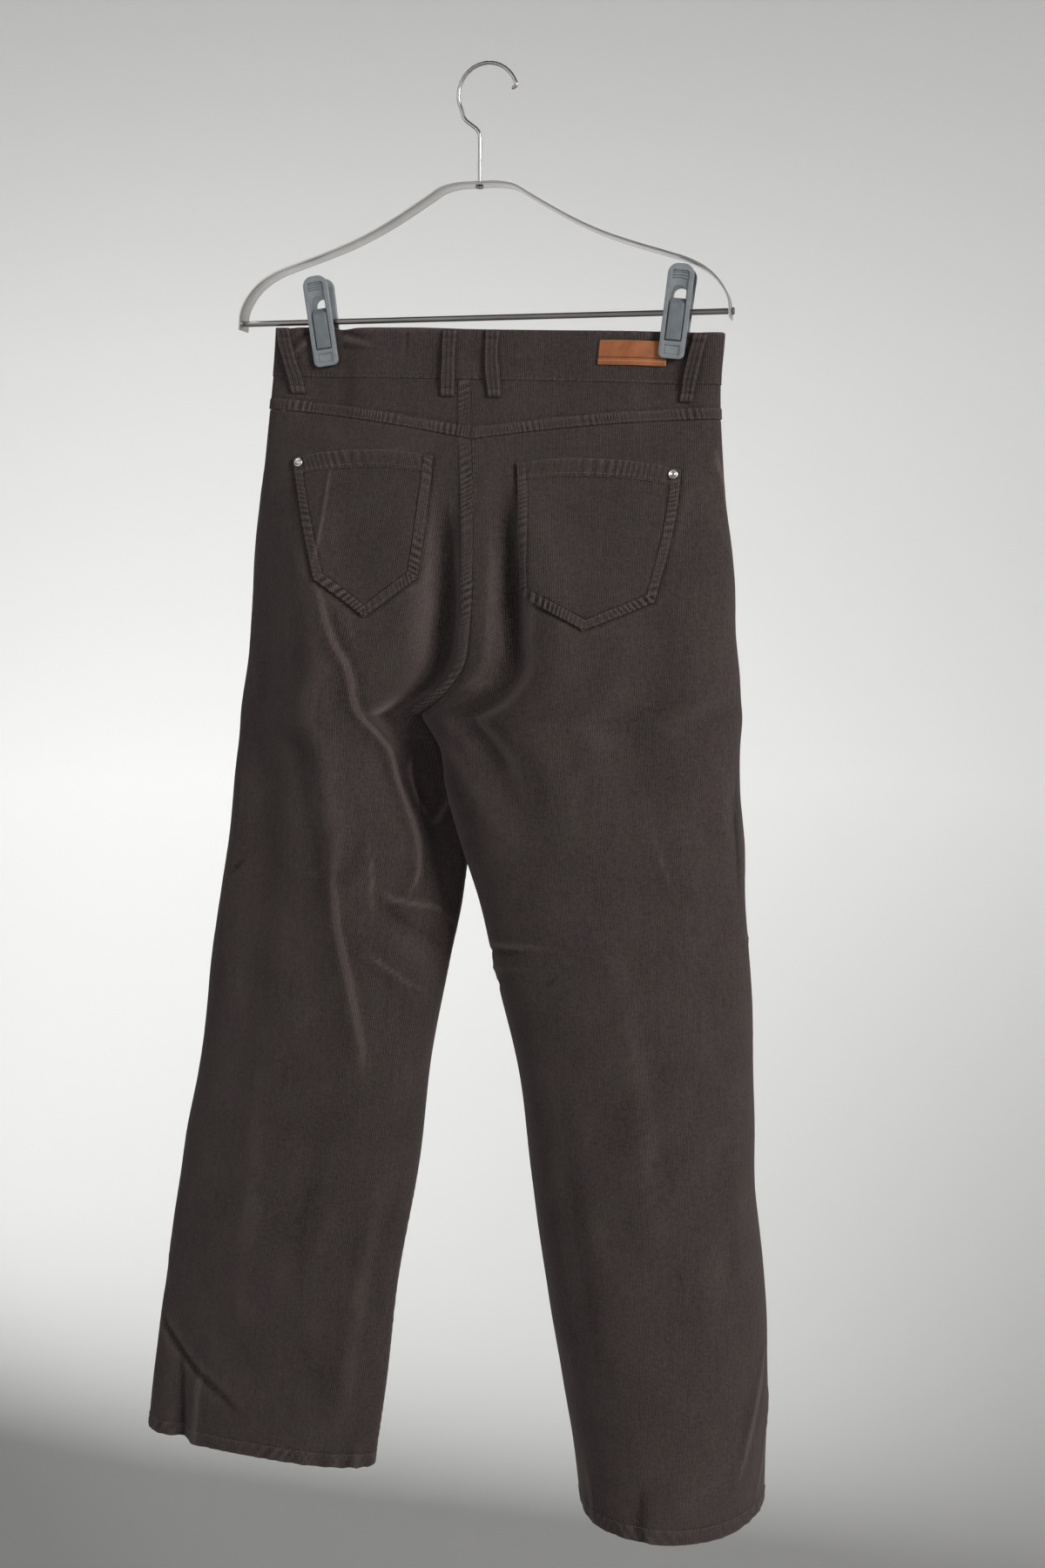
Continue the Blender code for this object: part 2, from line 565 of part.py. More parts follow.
# ================================================================ what lies on the panels
class Facets:
    """the leg panel's own flat facets, so that what lies on it follows them"""

    def __init__(self, half):
        self.half = half
        self.rows = np.array(common_rows())
        self.lines = np.linspace(0.0, 1.0, BACK_LINES)
        z, t = np.meshgrid(self.rows, self.lines, indexing="ij")
        self.points = half.point(z, t, np.zeros(z.shape))
        self.normals = half.normal(z, t)

    def sample(self, grid, z, t):
        row = np.interp(-z, -self.rows, np.arange(len(self.rows)))
        i = np.minimum(row.astype(int), len(self.rows) - 2)
        f = (row - i)[..., None]
        col = np.clip(t, 0.0, 1.0) * (BACK_LINES - 1)
        j = np.minimum(col.astype(int), BACK_LINES - 2)
        g = (col - j)[..., None]
        upper = grid[i, j] * (1 - g) + grid[i, j + 1] * g
        lower = grid[i + 1, j] * (1 - g) + grid[i + 1, j + 1] * g
        return upper * (1 - f) + lower * f

    def place(self, z, t):
        normal = self.sample(self.normals, z, t)
        normal /= np.linalg.norm(normal, axis=-1, keepdims=True)
        return self.sample(self.points, z, t), normal

    def clear_grid(self, z, t, gap):
        """points over the facets at z[i, j], t[i, j], raised until the faces between them clear the panel"""
        place, normal = self.place(z, t)
        out = np.full(z.shape, gap)
        for attempt in range(4):
            grid = place + normal * out[..., None]
            lack = np.zeros(z.shape)
            for f in (0.0, 0.25, 0.5, 0.75, 1.0):
                for g in (0.0, 0.25, 0.5, 0.75, 1.0):
                    under, facing = self.place(blend(z, f, g), blend(t, f, g))
                    here = np.sum((blend(grid, f, g) - under) * facing, axis=-1)
                    short = np.maximum(gap - here, 0.0)
                    for i, j in ((0, 0), (0, 1), (1, 0), (1, 1)):
                        corner = lack[i:i + short.shape[0], j:j + short.shape[1]]
                        np.maximum(corner, short, out=corner)
            out += lack
        return place + normal * out[..., None], normal


def blend(grid, f, g):
    """the place at shares f and g inside every cell of a grid"""
    upper = grid[:-1, :-1] * (1 - g) + grid[:-1, 1:] * g
    lower = grid[1:, :-1] * (1 - g) + grid[1:, 1:] * g
    return upper * (1 - f) + lower * f


def pocket_place(u, v, pocket):
    """u across from the inner edge, v down: distance along the panel and height"""
    left = pocket["inner"] + pocket["inner_taper"] * v
    right = pocket["inner"] + pocket["wide"] - pocket["outer_taper"] * v ** 1.3
    along = left + (right - left) * u
    drop = pocket["outer_top"] - pocket["inner_top"]
    top = pocket["inner_top"] + drop * u + POCKET_TOP_BOW * 4 * u * (1 - u)
    corner = np.where(u < POCKET_TIP_SHARE, pocket["inner_corner"], pocket["outer_corner"])
    from_tip = np.where(u < POCKET_TIP_SHARE, u / POCKET_TIP_SHARE, (1 - u) / (1 - POCKET_TIP_SHARE))
    foot = corner + (pocket["tip"] - corner) * from_tip
    return along, top + (foot - top) * v


def make_pockets(halves, trousers):
    for row in POCKETS:
        pocket = cells(POCKET_COLUMNS, row)
        half = halves[pocket["side"]]
        facets = Facets(half)
        u, v = np.meshgrid(np.linspace(0, 1, 13), np.linspace(0, 1, 11))
        along, z = pocket_place(u, v, pocket)
        t = along / half.long_at(z)
        inside, normal = facets.clear_grid(z, t, LAY_GAP)
        outside = inside + normal * PATCH_CLOTH
        wall(pocket["name"], outside, inside, CORDUROY, trousers)
        make_rivet(pocket["side"], outside, normal, trousers)


def stand_on(made, place, normal):
    """put an object's origin at place, its Z along the normal"""
    turn = Vector(normal).to_track_quat("Z", "Y").to_matrix().to_4x4()
    made.matrix_world = Matrix.Translation(Vector(place) * MM) @ turn


def make_rivet(side, surface, normals, trousers):
    """a low dome with a raised middle, at the outer top corner of the pocket"""
    r, h = RIVET_RADIUS, RIVET_HIGH
    profile = [(0.0, h), (0.22 * r, h), (0.32 * r, 0.72 * h), (0.5 * r, 0.7 * h), (0.78 * r, 0.95 * h),
               (0.95 * r, 0.6 * h), (r, 0.0), (0.0, 0.0)]
    label = "left" if side == LEFT else "right"
    normal = normals[:2, -2:].mean(axis=(0, 1))
    normal /= np.linalg.norm(normal)
    corner = surface[:2, -2:].mean(axis=(0, 1))
    lift = max(float(np.dot(p - corner, normal)) for p in surface[:3, -3:].reshape(-1, 3))
    place = corner + normal * (lift + 0.25)
    stand_on(turned("rivet_" + label, profile, 16, RIVET_METAL, trousers), place, normal)


def make_belt_loops(halves, trousers):
    fine = np.linspace(0.0, 1.0, 11)
    lifts = np.interp(fine, *np.array(LOOP_LIFT).T)[:, None]
    for name, side, t_top, t_foot in LOOPS:
        half = halves[side]
        drop = waist_line(t_top) - WAIST_TOP
        z = (LOOP_TOP + drop + (LOOP_FOOT - LOOP_TOP) * fine)[:, None]
        middle = (t_top + (t_foot - t_top) * fine)[:, None]
        across = np.linspace(-0.5, 0.5, 3)[None, :] * LOOP_WIDE
        t = middle + across / half.long_at(z, t_top > 1.0)
        z, t, lifts_here = np.broadcast_arrays(z, t, lifts)
        grids = [half.point(z, t, lifts_here + d) for d in (LOOP_THICK, 0.0)]
        wall(name, *grids, CORDUROY, trousers)


def make_leather_patch(halves, trousers):
    half = halves[RIGHT]
    along, z = np.meshgrid(np.linspace(PATCH_INNER, PATCH_OUTER, 13), np.linspace(PATCH_TOP, PATCH_FOOT, 4))
    t = along / half.long_at(z)
    out = np.full(z.shape, BAND_OUT + LAY_GAP)
    grids = [half.point(z, t, out + d) for d in (PATCH_THICK, 0.0)]
    wall("leather_patch", *grids, LEATHER, trousers)


def make_fly(halves, trousers):
    """the lapped flap over the zip: straight edge at the centre front, J-shaped foot"""
    half = halves[LEFT]
    u, v = np.meshgrid(np.linspace(0, 1, 5), np.linspace(0, 1, 11))
    top = BAND_FOOT - 1.0
    foot = FLY_FOOT + 34.0 * u ** 2.2
    z = top + (foot - top) * v
    along = 1.0 + FLY_WIDE * u
    t = 2.0 - along / half.long_at(z, front=True)
    out = np.full(z.shape, LAY_GAP)
    grids = [half.point(z, t, out + d) for d in (FLY_THICK, 0.0)]
    wall("fly_flap", *grids, CORDUROY, trousers)


def make_button(halves, trousers):
    half = halves[LEFT]
    z = np.array([0.5 * (waist_line(2.0) + BAND_FOOT)])
    t = 2.0 - BUTTON_INSET / half.long_at(z, front=True)
    place = half.point(z, t, np.array([BAND_OUT + 0.4]))[0]
    r, h = BUTTON_RADIUS, BUTTON_HIGH
    profile = [(0.0, 0.7 * h), (0.55 * r, 0.7 * h), (0.7 * r, h), (0.88 * r, h), (r, 0.7 * h), (r, 0.35 * h),
               (0.8 * r, 0.0), (0.0, 0.0)]
    stand_on(turned("waist_button", profile, 20, BUTTON_PLASTIC, trousers), place, half.normal(z, t)[0])


# ================================================================ hanger
def strap_reach():
    """distance of the strap's middle line from the hanger's middle, at the bar"""
    half = np.array(STRAP_LINE, float)
    return float(np.interp(-BAR_Z, -half[:, 1], half[:, 0]))


def strap_points():
    """the whole line of the strap, left end to right end, on a smooth curve"""
    half = np.array(STRAP_LINE, float)
    run = np.r_[0.0, np.cumsum(np.hypot(*np.diff(half, axis=0).T))]
    at = np.linspace(0.0, run[-1], 18)
    rows = [(-r, p[0], p[1]) for r, p in zip(run, half)]
    far = column(rows, "run far high", "far", -at)
    high = column(rows, "run far high", "high", -at)
    right = list(zip(far, high))
    return [(-x, z) for x, z in right[:0:-1]] + right


def make_strap(hanger, cutters):
    """flat strip bent to an arch, drilled for the hook and for the bar"""
    line = np.array(strap_points())
    tangent = np.gradient(line, axis=0)
    tangent /= np.linalg.norm(tangent, axis=1, keepdims=True)
    out = np.stack([-tangent[:, 1], tangent[:, 0]], axis=1) * STRAP_THICK / 2.0
    skins = []
    for sign in (1, -1):
        edge = line + out * sign
        depth = np.array([-0.5, 0.5]) * STRAP_WIDE
        x = np.repeat(edge[:, :1] + HANGER_X, 2, axis=1)
        z = np.repeat(edge[:, 1:], 2, axis=1)
        y = np.repeat(depth[None, :], len(edge), axis=0)
        skins.append(np.stack([x, y, z], axis=-1))
    strap = wall("hanger_strap", skins[0], skins[1], STEEL, hanger)
    cut(strap, rod_cutter("hook_hole", WIRE_RADIUS + HOLE_PLAY, 12.0, (HANGER_X, 0, STRAP_LINE[0][1]), "Z",
                          cutters))
    for sign in (-1, 1):
        place = (HANGER_X + sign * strap_reach(), 0, BAR_Z)
        cut(strap, rod_cutter("bar_hole", NECK_RADIUS + HOLE_PLAY, 12.0, place, "X", cutters))


def rod_cutter(name, radius, long, place, axis, cutters):
    bm = bmesh.new()
    bmesh.ops.create_cone(bm, cap_ends=True, segments=16, radius1=radius * MM, radius2=radius * MM,
                          depth=long * MM)
    made = object_from(bm, name, None, cutters)
    made.location = Vector(place) * MM
    if axis == "X":
        made.rotation_euler = (0.0, math.pi / 2.0, 0.0)
    return made


def make_bar(hanger):
    """a round bar whose necks pass through the strap's ends, with a head outside each"""
    end = strap_reach() - STRAP_THICK / 2.0 - BAR_PLAY
    head = strap_reach() + STRAP_THICK / 2.0 + BAR_PLAY
    half = [(0.0, head + HEAD_THICK), (0.7 * HEAD_RADIUS, head + HEAD_THICK),
            (HEAD_RADIUS, head + 0.6 * HEAD_THICK), (HEAD_RADIUS, head),
            (NECK_RADIUS, head), (NECK_RADIUS, end), (BAR_RADIUS, end)]
    profile = half + [(r, -h) for r, h in reversed(half)]
    bar = turned("hanger_bar", profile, 16, STEEL, hanger)
    bar.matrix_world = Matrix.Translation(Vector((HANGER_X, 0, BAR_Z)) * MM) @ Matrix.Rotation(
        math.pi / 2.0, 4, "Y")


def hook_points():
    """tip, round over the top, back under to the shaft, and down to the head under the strap"""
    centre_z = WIRE_RADIUS - HOOK_RADIUS
    points = [(20.6, -20.4, 1.0)]
    for degrees in range(15, 206, 10):
        angle = math.radians(degrees)
        points.append((HOOK_RADIUS * math.cos(angle), centre_z + HOOK_RADIUS * math.sin(angle), 1.0))
    shaft = HANGER_X
    points += [(-20.0, -43.0, 1.0), (-14.0, -48.0, 1.0), (-9.6, -51.6, 1.0), (-7.6, -54.6, 1.0),
               (shaft, -59.0, 1.0)]
    strap_foot = STRAP_LINE[0][1] - STRAP_THICK / 2.0
    head = 3.6 / WIRE_RADIUS
    points += [(shaft, -80.0, 1.0), (shaft, strap_foot - 0.3, 1.0), (shaft, strap_foot - 0.35, head),
               (shaft, strap_foot - 1.6, head), (shaft, strap_foot - 2.4, 0.6 * head)]
    return points


def make_hook(hanger):
    curve = bpy.data.curves.new("hook_wire", "CURVE")
    curve.dimensions = "3D"
    curve.bevel_depth = WIRE_RADIUS * MM
    curve.bevel_resolution = 2
    curve.use_fill_caps = True
    points = hook_points()
    line = curve.splines.new("POLY")
    line.points.add(len(points) - 1)
    for spot, (x, z, wide) in zip(line.points, points):
        spot.co = (x * MM, 0.0, z * MM, 1.0)
        spot.radius = wide
    hook = bpy.data.objects.new("hanger_hook", curve)
    curve.materials.append(material(STEEL))
    hanger.objects.link(hook)


# ================================================================ clips
def rounded_plate(name, wide, top, foot, top_round, foot_round, thick, collection, look=None):
    """a plate in the XZ plane with rounded corners, its outer face at y = 0 and its body behind it"""
    half = wide / 2.0
    outline = []
    corners = [(half - top_round, -top - top_round, top_round, 0, 90),
               (-half + top_round, -top - top_round, top_round, 90, 180),
               (-half + foot_round, -foot + foot_round, foot_round, 180, 270),
               (half - foot_round, -foot + foot_round, foot_round, 270, 360)]
    for x, z, radius, start, end in corners:
        count = 7 if radius > 3.0 else 3
        for angle in np.radians(np.linspace(start, end, count)):
            outline.append((x + radius * math.cos(angle), z + radius * math.sin(angle)))
    bm = bmesh.new()
    near = [bm.verts.new((x * MM, 0.0, z * MM)) for x, z in outline]
    face = bm.faces.new(near)
    grown = bmesh.ops.extrude_face_region(bm, geom=[face])
    moved = [v for v in grown["geom"] if isinstance(v, bmesh.types.BMVert)]
    bmesh.ops.translate(bm, verts=moved, vec=(0.0, thick * MM, 0.0))
    return object_from(bm, name, look, collection)


def leaf_mesh(cutters):
    """one leaf, its top at the origin and its outer face at y = 0: channel, hole for the spring and inset"""
    leaf = rounded_plate("leaf", LEAF_WIDE, 0.0, LEAF_LONG, LEAF_TOP_ROUND, LEAF_FOOT_ROUND, LEAF_THICK,
                         cutters, CLIP_PLASTIC)
    channel = rounded_plate("channel", CHANNEL_WIDE, CHANNEL_TOP, CHANNEL_FOOT, 6.0, 1.0, CHANNEL_DEEP + 2.0,
                            cutters)
    channel.location = (0.0, -2.0 * MM, 0.0)
    hole = rounded_plate("hole", HOLE_WIDE, HOLE_TOP, HOLE_FOOT, 6.0, 0.5, 3.0 * LEAF_THICK, cutters)
    hole.location = (0.0, -LEAF_THICK * MM, 0.0)
    inset = rounded_plate("inset", CHANNEL_WIDE - 2.0, INSET_TOP, INSET_FOOT, 1.0, 1.0, INSET_DEEP + 2.0,
                          cutters)
    inset.location = (0.0, -2.0 * MM, 0.0)
    for cutter in (channel, hole, inset):
        cut(leaf, cutter)
    bpy.context.view_layer.update()
    made = bpy.data.meshes.new_from_object(leaf.evaluated_get(bpy.context.evaluated_depsgraph_get()))
    bpy.data.objects.remove(leaf)
    bm = bmesh.new()
    bm.from_mesh(made)
    bmesh.ops.triangulate(bm, faces=bm.faces)
    bm.to_mesh(made)
    bm.free()
    return made


def make_clips(hanger, cutters):
    """each clip: two leaves, splayed at the top, and a spring strip through both over the bar"""
    mesh = leaf_mesh(cutters)
    splay = math.radians(LEAF_SPLAY)
    for row in CLIPS:
        name, x, lean, jaw_back, jaw_front = row
        for label, facing, jaw in (("front", 1, jaw_back), ("back", -1, jaw_front)):
            leaf = bpy.data.objects.new(name + "_" + label, mesh)
            hanger.objects.link(leaf)
            foot = Vector((x, -facing * (jaw + LEAF_THICK), JAW_FOOT))
            turn = Matrix.Rotation(math.radians(lean), 4, "Y") @ Matrix.Rotation(splay * facing, 4, "X")
            if facing < 0:
                turn = turn @ Matrix.Rotation(math.pi, 4, "Z")
            top = foot - (turn.to_3x3() @ Vector((0, 0, -LEAF_LONG)))
            leaf.matrix_world = Matrix.Translation(top * MM) @ turn
        make_spring(*row, hanger)


def leaf_face(distance_down, jaw, depth):
    """y (from the cloth side outwards) and z of a place on a leaf, depth under its outer face"""
    splay = math.radians(LEAF_SPLAY)
    up = LEAF_LONG - distance_down
    y = jaw + LEAF_THICK + up * math.sin(splay) - depth * math.cos(splay)
    z = JAW_FOOT + up * math.cos(splay) - depth * math.sin(splay)
    return y, z


def make_spring(name, x, lean, jaw_back, jaw_front, hanger):
    """a strip bent to a narrow U, upside down over the bar, its ends in the leaves' channels"""
    sink = CHANNEL_DEEP - 0.3
    middle = sink - SPRING_THICK / 2.0
    line = []
    for sign, jaw in ((-1, jaw_back), (1, jaw_front)):
        side = [leaf_face(d, jaw, middle) for d in np.linspace(SPRING_FOOT, SPRING_TOP + 2, 4)]
        side += [leaf_face(SPRING_TOP, jaw, middle + 1.6)]
        points = [(sign * y, z) for y, z in side]
        line += points if sign < 0 else points[::-1]
    line = np.array(line)
    tangent = np.gradient(line, axis=0)
    tangent /= np.linalg.norm(tangent, axis=1, keepdims=True)
    out = np.stack([-tangent[:, 1], tangent[:, 0]], axis=1) * SPRING_THICK / 2.0
    slope = math.tan(math.radians(lean))
    skins = []
    for sign in (1, -1):
        edge = line + out * sign
        across = np.array([-0.5, 0.5]) * SPRING_WIDE
        middle = x + (edge[:, 1] - JAW_FOOT) * slope
        grid_x = middle[:, None] + across[None, :]
        y = np.repeat(edge[:, :1], 2, axis=1)
        z = np.repeat(edge[:, 1:], 2, axis=1) - across[None, :] * slope
        skins.append(np.stack([grid_x, y, z], axis=-1))
    wall(name + "_spring", skins[0], skins[1], SPRING_PLASTIC, hanger)


# ================================================================ all of it
def main():
    clear_scene()
    trousers = new_collection("corduroy_trousers")
    hanger = new_collection("clip_hanger")
    cutters = new_collection("cutters")
    halves = make_halves()
    make_leg_panels(halves, trousers)
    make_yokes(halves, trousers)
    make_waistband(halves, trousers)
    make_pockets(halves, trousers)
    make_belt_loops(halves, trousers)
    make_leather_patch(halves, trousers)
    make_fly(halves, trousers)
    make_button(halves, trousers)
    make_strap(hanger, cutters)
    make_bar(hanger)
    make_hook(hanger)
    make_clips(hanger, cutters)


main()
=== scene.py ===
"""Looks of the corduroy trousers on their clip hanger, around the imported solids.

Frame: metres, +Z up, origin at the inner top of the hook, the back of the trousers faces -Y. The cloth's own
sizes below are in millimetres, as in the part's source, and MM turns them into metres. A place on a half of
the trousers is a height z and a share t of the way round: 0 at the back inner edge, 1 at the side seam, 2 at
the front inner edge. Each cloth piece is a fine closed wall on the form of its solid, with creases, puckered
seams and turned edges raised in it, and a wale pattern that follows the cut.
"""
import json
import math

import bmesh
import bpy
import numpy as np
from mathutils import Matrix, Vector

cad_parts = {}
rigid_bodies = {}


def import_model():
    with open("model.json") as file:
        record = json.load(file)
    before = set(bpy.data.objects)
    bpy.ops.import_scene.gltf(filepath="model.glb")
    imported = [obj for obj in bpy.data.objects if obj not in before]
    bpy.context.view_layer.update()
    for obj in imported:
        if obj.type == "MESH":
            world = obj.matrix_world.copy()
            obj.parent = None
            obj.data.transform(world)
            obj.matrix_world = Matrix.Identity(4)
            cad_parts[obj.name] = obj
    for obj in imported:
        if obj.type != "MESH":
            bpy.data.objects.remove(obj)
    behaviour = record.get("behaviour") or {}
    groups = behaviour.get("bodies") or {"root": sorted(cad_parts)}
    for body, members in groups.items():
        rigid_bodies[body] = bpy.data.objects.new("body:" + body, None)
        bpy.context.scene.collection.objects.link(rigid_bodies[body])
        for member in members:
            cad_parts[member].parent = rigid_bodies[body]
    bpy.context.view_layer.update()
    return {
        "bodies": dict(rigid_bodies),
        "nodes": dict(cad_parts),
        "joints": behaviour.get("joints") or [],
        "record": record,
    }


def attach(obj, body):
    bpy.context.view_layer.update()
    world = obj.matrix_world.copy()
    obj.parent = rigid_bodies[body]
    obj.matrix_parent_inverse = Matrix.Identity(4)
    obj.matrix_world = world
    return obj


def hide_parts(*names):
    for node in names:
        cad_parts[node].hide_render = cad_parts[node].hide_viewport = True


MM = 0.001
LEFT, RIGHT = -1, 1
SIDES = ((LEFT, "left"), (RIGHT, "right"))
TAU = 2.0 * math.pi

# ---------------------------------------------------------------- camera, as the photograph was taken
CAMERA_PLACE = (0.340, -1.420, -0.418)
CAMERA_YAW, CAMERA_DOWN, CAMERA_ROLL = 12.2, 7.5, 0.3
CAMERA_LENS = 38.0

# ---------------------------------------------------------------- form of the cloth, from the part's source
CLOTH = 1.5
BAND_OUT, BAND_IN = 0.7, 2.3
SEAM_GAP = 0.3
WAIST_TOP, BAND_FOOT = -217.0, -260.0
FRONT_DIP, DIP_START, DIP_SPAN = 9.0, 1.15, 0.7        # the waist edge sinks in front, over these shares
YOKE_CENTRE, YOKE_SIDE, YOKE_CURVE = -311.0, -288.0, 1.6
CROTCH, HEM = -550.0, -1262.0
SIDE_SEAM_WRAP = 16.0
SEAM_HOLD, NORMAL_BLEND = 14.0, 8.0
WAIST_SLOPE, SLOPE_FADE = -0.036, (-300.0, -620.0)
PINCH_HALF, PINCH_WIDE, PINCH_FADE = 2.9, 24.0, (-250.0, -315.0)
CLIP_COLUMNS = "name x lean jaw_back jaw_front"
CLIPS = [
    ("clip_left", -142.6, -7.6, 4.1, 4.1),
    ("clip_right", 159.4, 6.8, 5.8, 4.1),
]

TORSO_COLUMNS = "z left right seam back front open square reach_left reach_right swing_left swing_right"
TORSO = [
    (-217, -190, 203, -9, 6, 6, 1.00, 6.0, 172, 200, 0, 0),
    (-260, -194, 201, -12, 9, 8, 1.00, 5.0, 162, 185, 0, 0),
    (-307, -199, 203, -9, 21, 18, 1.00, 3.2, 152, 170, 0, 0),
    (-360, -206, 208, -4, 35, 30, 1.00, 2.6, 143, 157, -1, 0),
    (-420, -214, 216, -2, 45, 40, 0.98, 2.3, 133, 146, -3, 1),
    (-470, -216, 218, -4, 50, 46, 0.90, 2.1, 123, 138, -6, 4),
    (-510, -219, 222, -14, 53, 50, 0.70, 2.05, 115, 133, -8, 8),
    (-535, -223, 224, -38, 54, 53, 0.40, 2.0, 110, 131, -9, 10),
    (-550, -225, 224, -60, 54, 54, 0.00, 2.0, 107, 130, -10, 11),
]

LEG_COLUMNS = "z outer inner middle back front swing square reach"
LEGS = {
    LEFT: [
        (-575, -227, -46, 15, 54, 55, -10, 2.0, 103),
        (-610, -232, -37, 20, 52, 54, -10, 2.0, 101),
        (-660, -238, -22, 20, 48, 50, -10, 2.0, 106),
        (-710, -248, -24, 13, 44, 47, -7, 2.0, 111),
        (-780, -262, -36, 3, 41, 43, -3, 2.1, 113),
        (-860, -273, -50, -4, 38, 40, 2, 2.2, 113),
        (-960, -295, -61, -6, 34, 36, 6, 2.2, 117),
        (-1080, -316, -82, -8, 30, 31, 8, 2.2, 118),
        (-1180, -333, -93, -10, 27, 28, 11, 2.2, 120),
        (-1262, -345, -105, -10, 26, 27, 12, 2.2, 122),
    ],
    RIGHT: [
        (-575, 223, -42, -5, 55, 54, 12, 2.0, 129),
        (-610, 224, -34, -11, 54, 54, 12, 2.0, 128),
        (-660, 229, -19, -15, 53, 54, 9, 2.0, 124),
        (-710, 231, -2, -16, 53, 54, 7, 2.0, 118),
        (-780, 238, 14, -15, 55, 54, 5, 2.0, 112),
        (-860, 242, 34, -14, 59, 55, 4, 2.0, 105),
        (-960, 246, 47, -13, 65, 57, 5, 2.0, 100),
        (-1080, 258, 65, -12, 73, 60, 6, 2.0, 97),
        (-1180, 261, 83, -11, 79, 62, 7, 2.0, 89),
        (-1262, 259, 95, -10, 82, 64, 7, 2.0, 82),
    ],
}

# Each fold runs down a half: at height z its middle is at t, it is 2 x width across and height proud
FOLD_COLUMNS = "z t width height"
FOLDS = {
    LEFT: [
        # hollow beside the centre back seam, deepest behind the crotch
        [(-330, 0.12, 18, 0), (-400, 0.12, 24, -7), (-470, 0.13, 34, -17), (-520, 0.15, 46, -26),
         (-555, 0.16, 54, -28), (-600, 0.15, 52, -22), (-650, 0.13, 44, -14), (-735, 0.09, 32, -5),
         (-800, 0.06, 24, 0)],
        # ridge down the outer back
        [(-330, 0.64, 30, 0), (-410, 0.59, 34, 5), (-500, 0.51, 36, 8), (-600, 0.47, 36, 9),
         (-700, 0.44, 36, 8), (-790, 0.36, 34, 6), (-870, 0.29, 32, 3), (-960, 0.26, 30, 0)],
        # hollow outside that ridge
        [(-360, 0.84, 30, 0), (-440, 0.81, 34, -5), (-560, 0.76, 36, -8), (-700, 0.73, 36, -7),
         (-850, 0.70, 36, -4), (-980, 0.70, 34, 0)],
        # dent in the hem
        [(-1140, 0.80, 28, 0), (-1200, 0.78, 24, -5), (-1262, 0.76, 22, -8)],
        # hollow beside the centre front seam
        [(-400, 1.88, 24, 0), (-480, 1.87, 28, -9), (-555, 1.86, 34, -18), (-640, 1.88, 32, -11),
         (-740, 1.91, 28, 0)],
        # long soft fold down the front
        [(-420, 1.45, 34, 0), (-560, 1.50, 38, 7), (-720, 1.52, 38, 7), (-900, 1.55, 36, 4),
         (-1020, 1.56, 32, 0)],
    ],
    RIGHT: [
        # hollow beside the centre back seam
        [(-330, 0.11, 20, 0), (-400, 0.12, 22, -7), (-460, 0.13, 24, -10), (-520, 0.18, 28, -10),
         (-590, 0.24, 30, -6), (-660, 0.28, 28, 0)],
        # ridge outside that hollow
        [(-350, 0.22, 24, 0), (-430, 0.26, 28, 4), (-510, 0.33, 30, 5), (-580, 0.38, 32, 4),
         (-660, 0.41, 30, 0)],
        # shallow hollow down the middle of the thigh
        [(-390, 0.62, 32, 0), (-460, 0.62, 38, -5), (-600, 0.62, 42, -6), (-700, 0.62, 38, -3),
         (-780, 0.61, 34, 0)],
        # hollow beside the centre front seam
        [(-420, 1.90, 24, 0), (-500, 1.88, 28, -7), (-560, 1.88, 30, -10), (-650, 1.90, 28, 0)],
        # long soft fold down the front
        [(-430, 1.50, 34, 0), (-580, 1.52, 40, -7), (-760, 1.50, 40, -6), (-920, 1.48, 36, 0)],
    ],
}

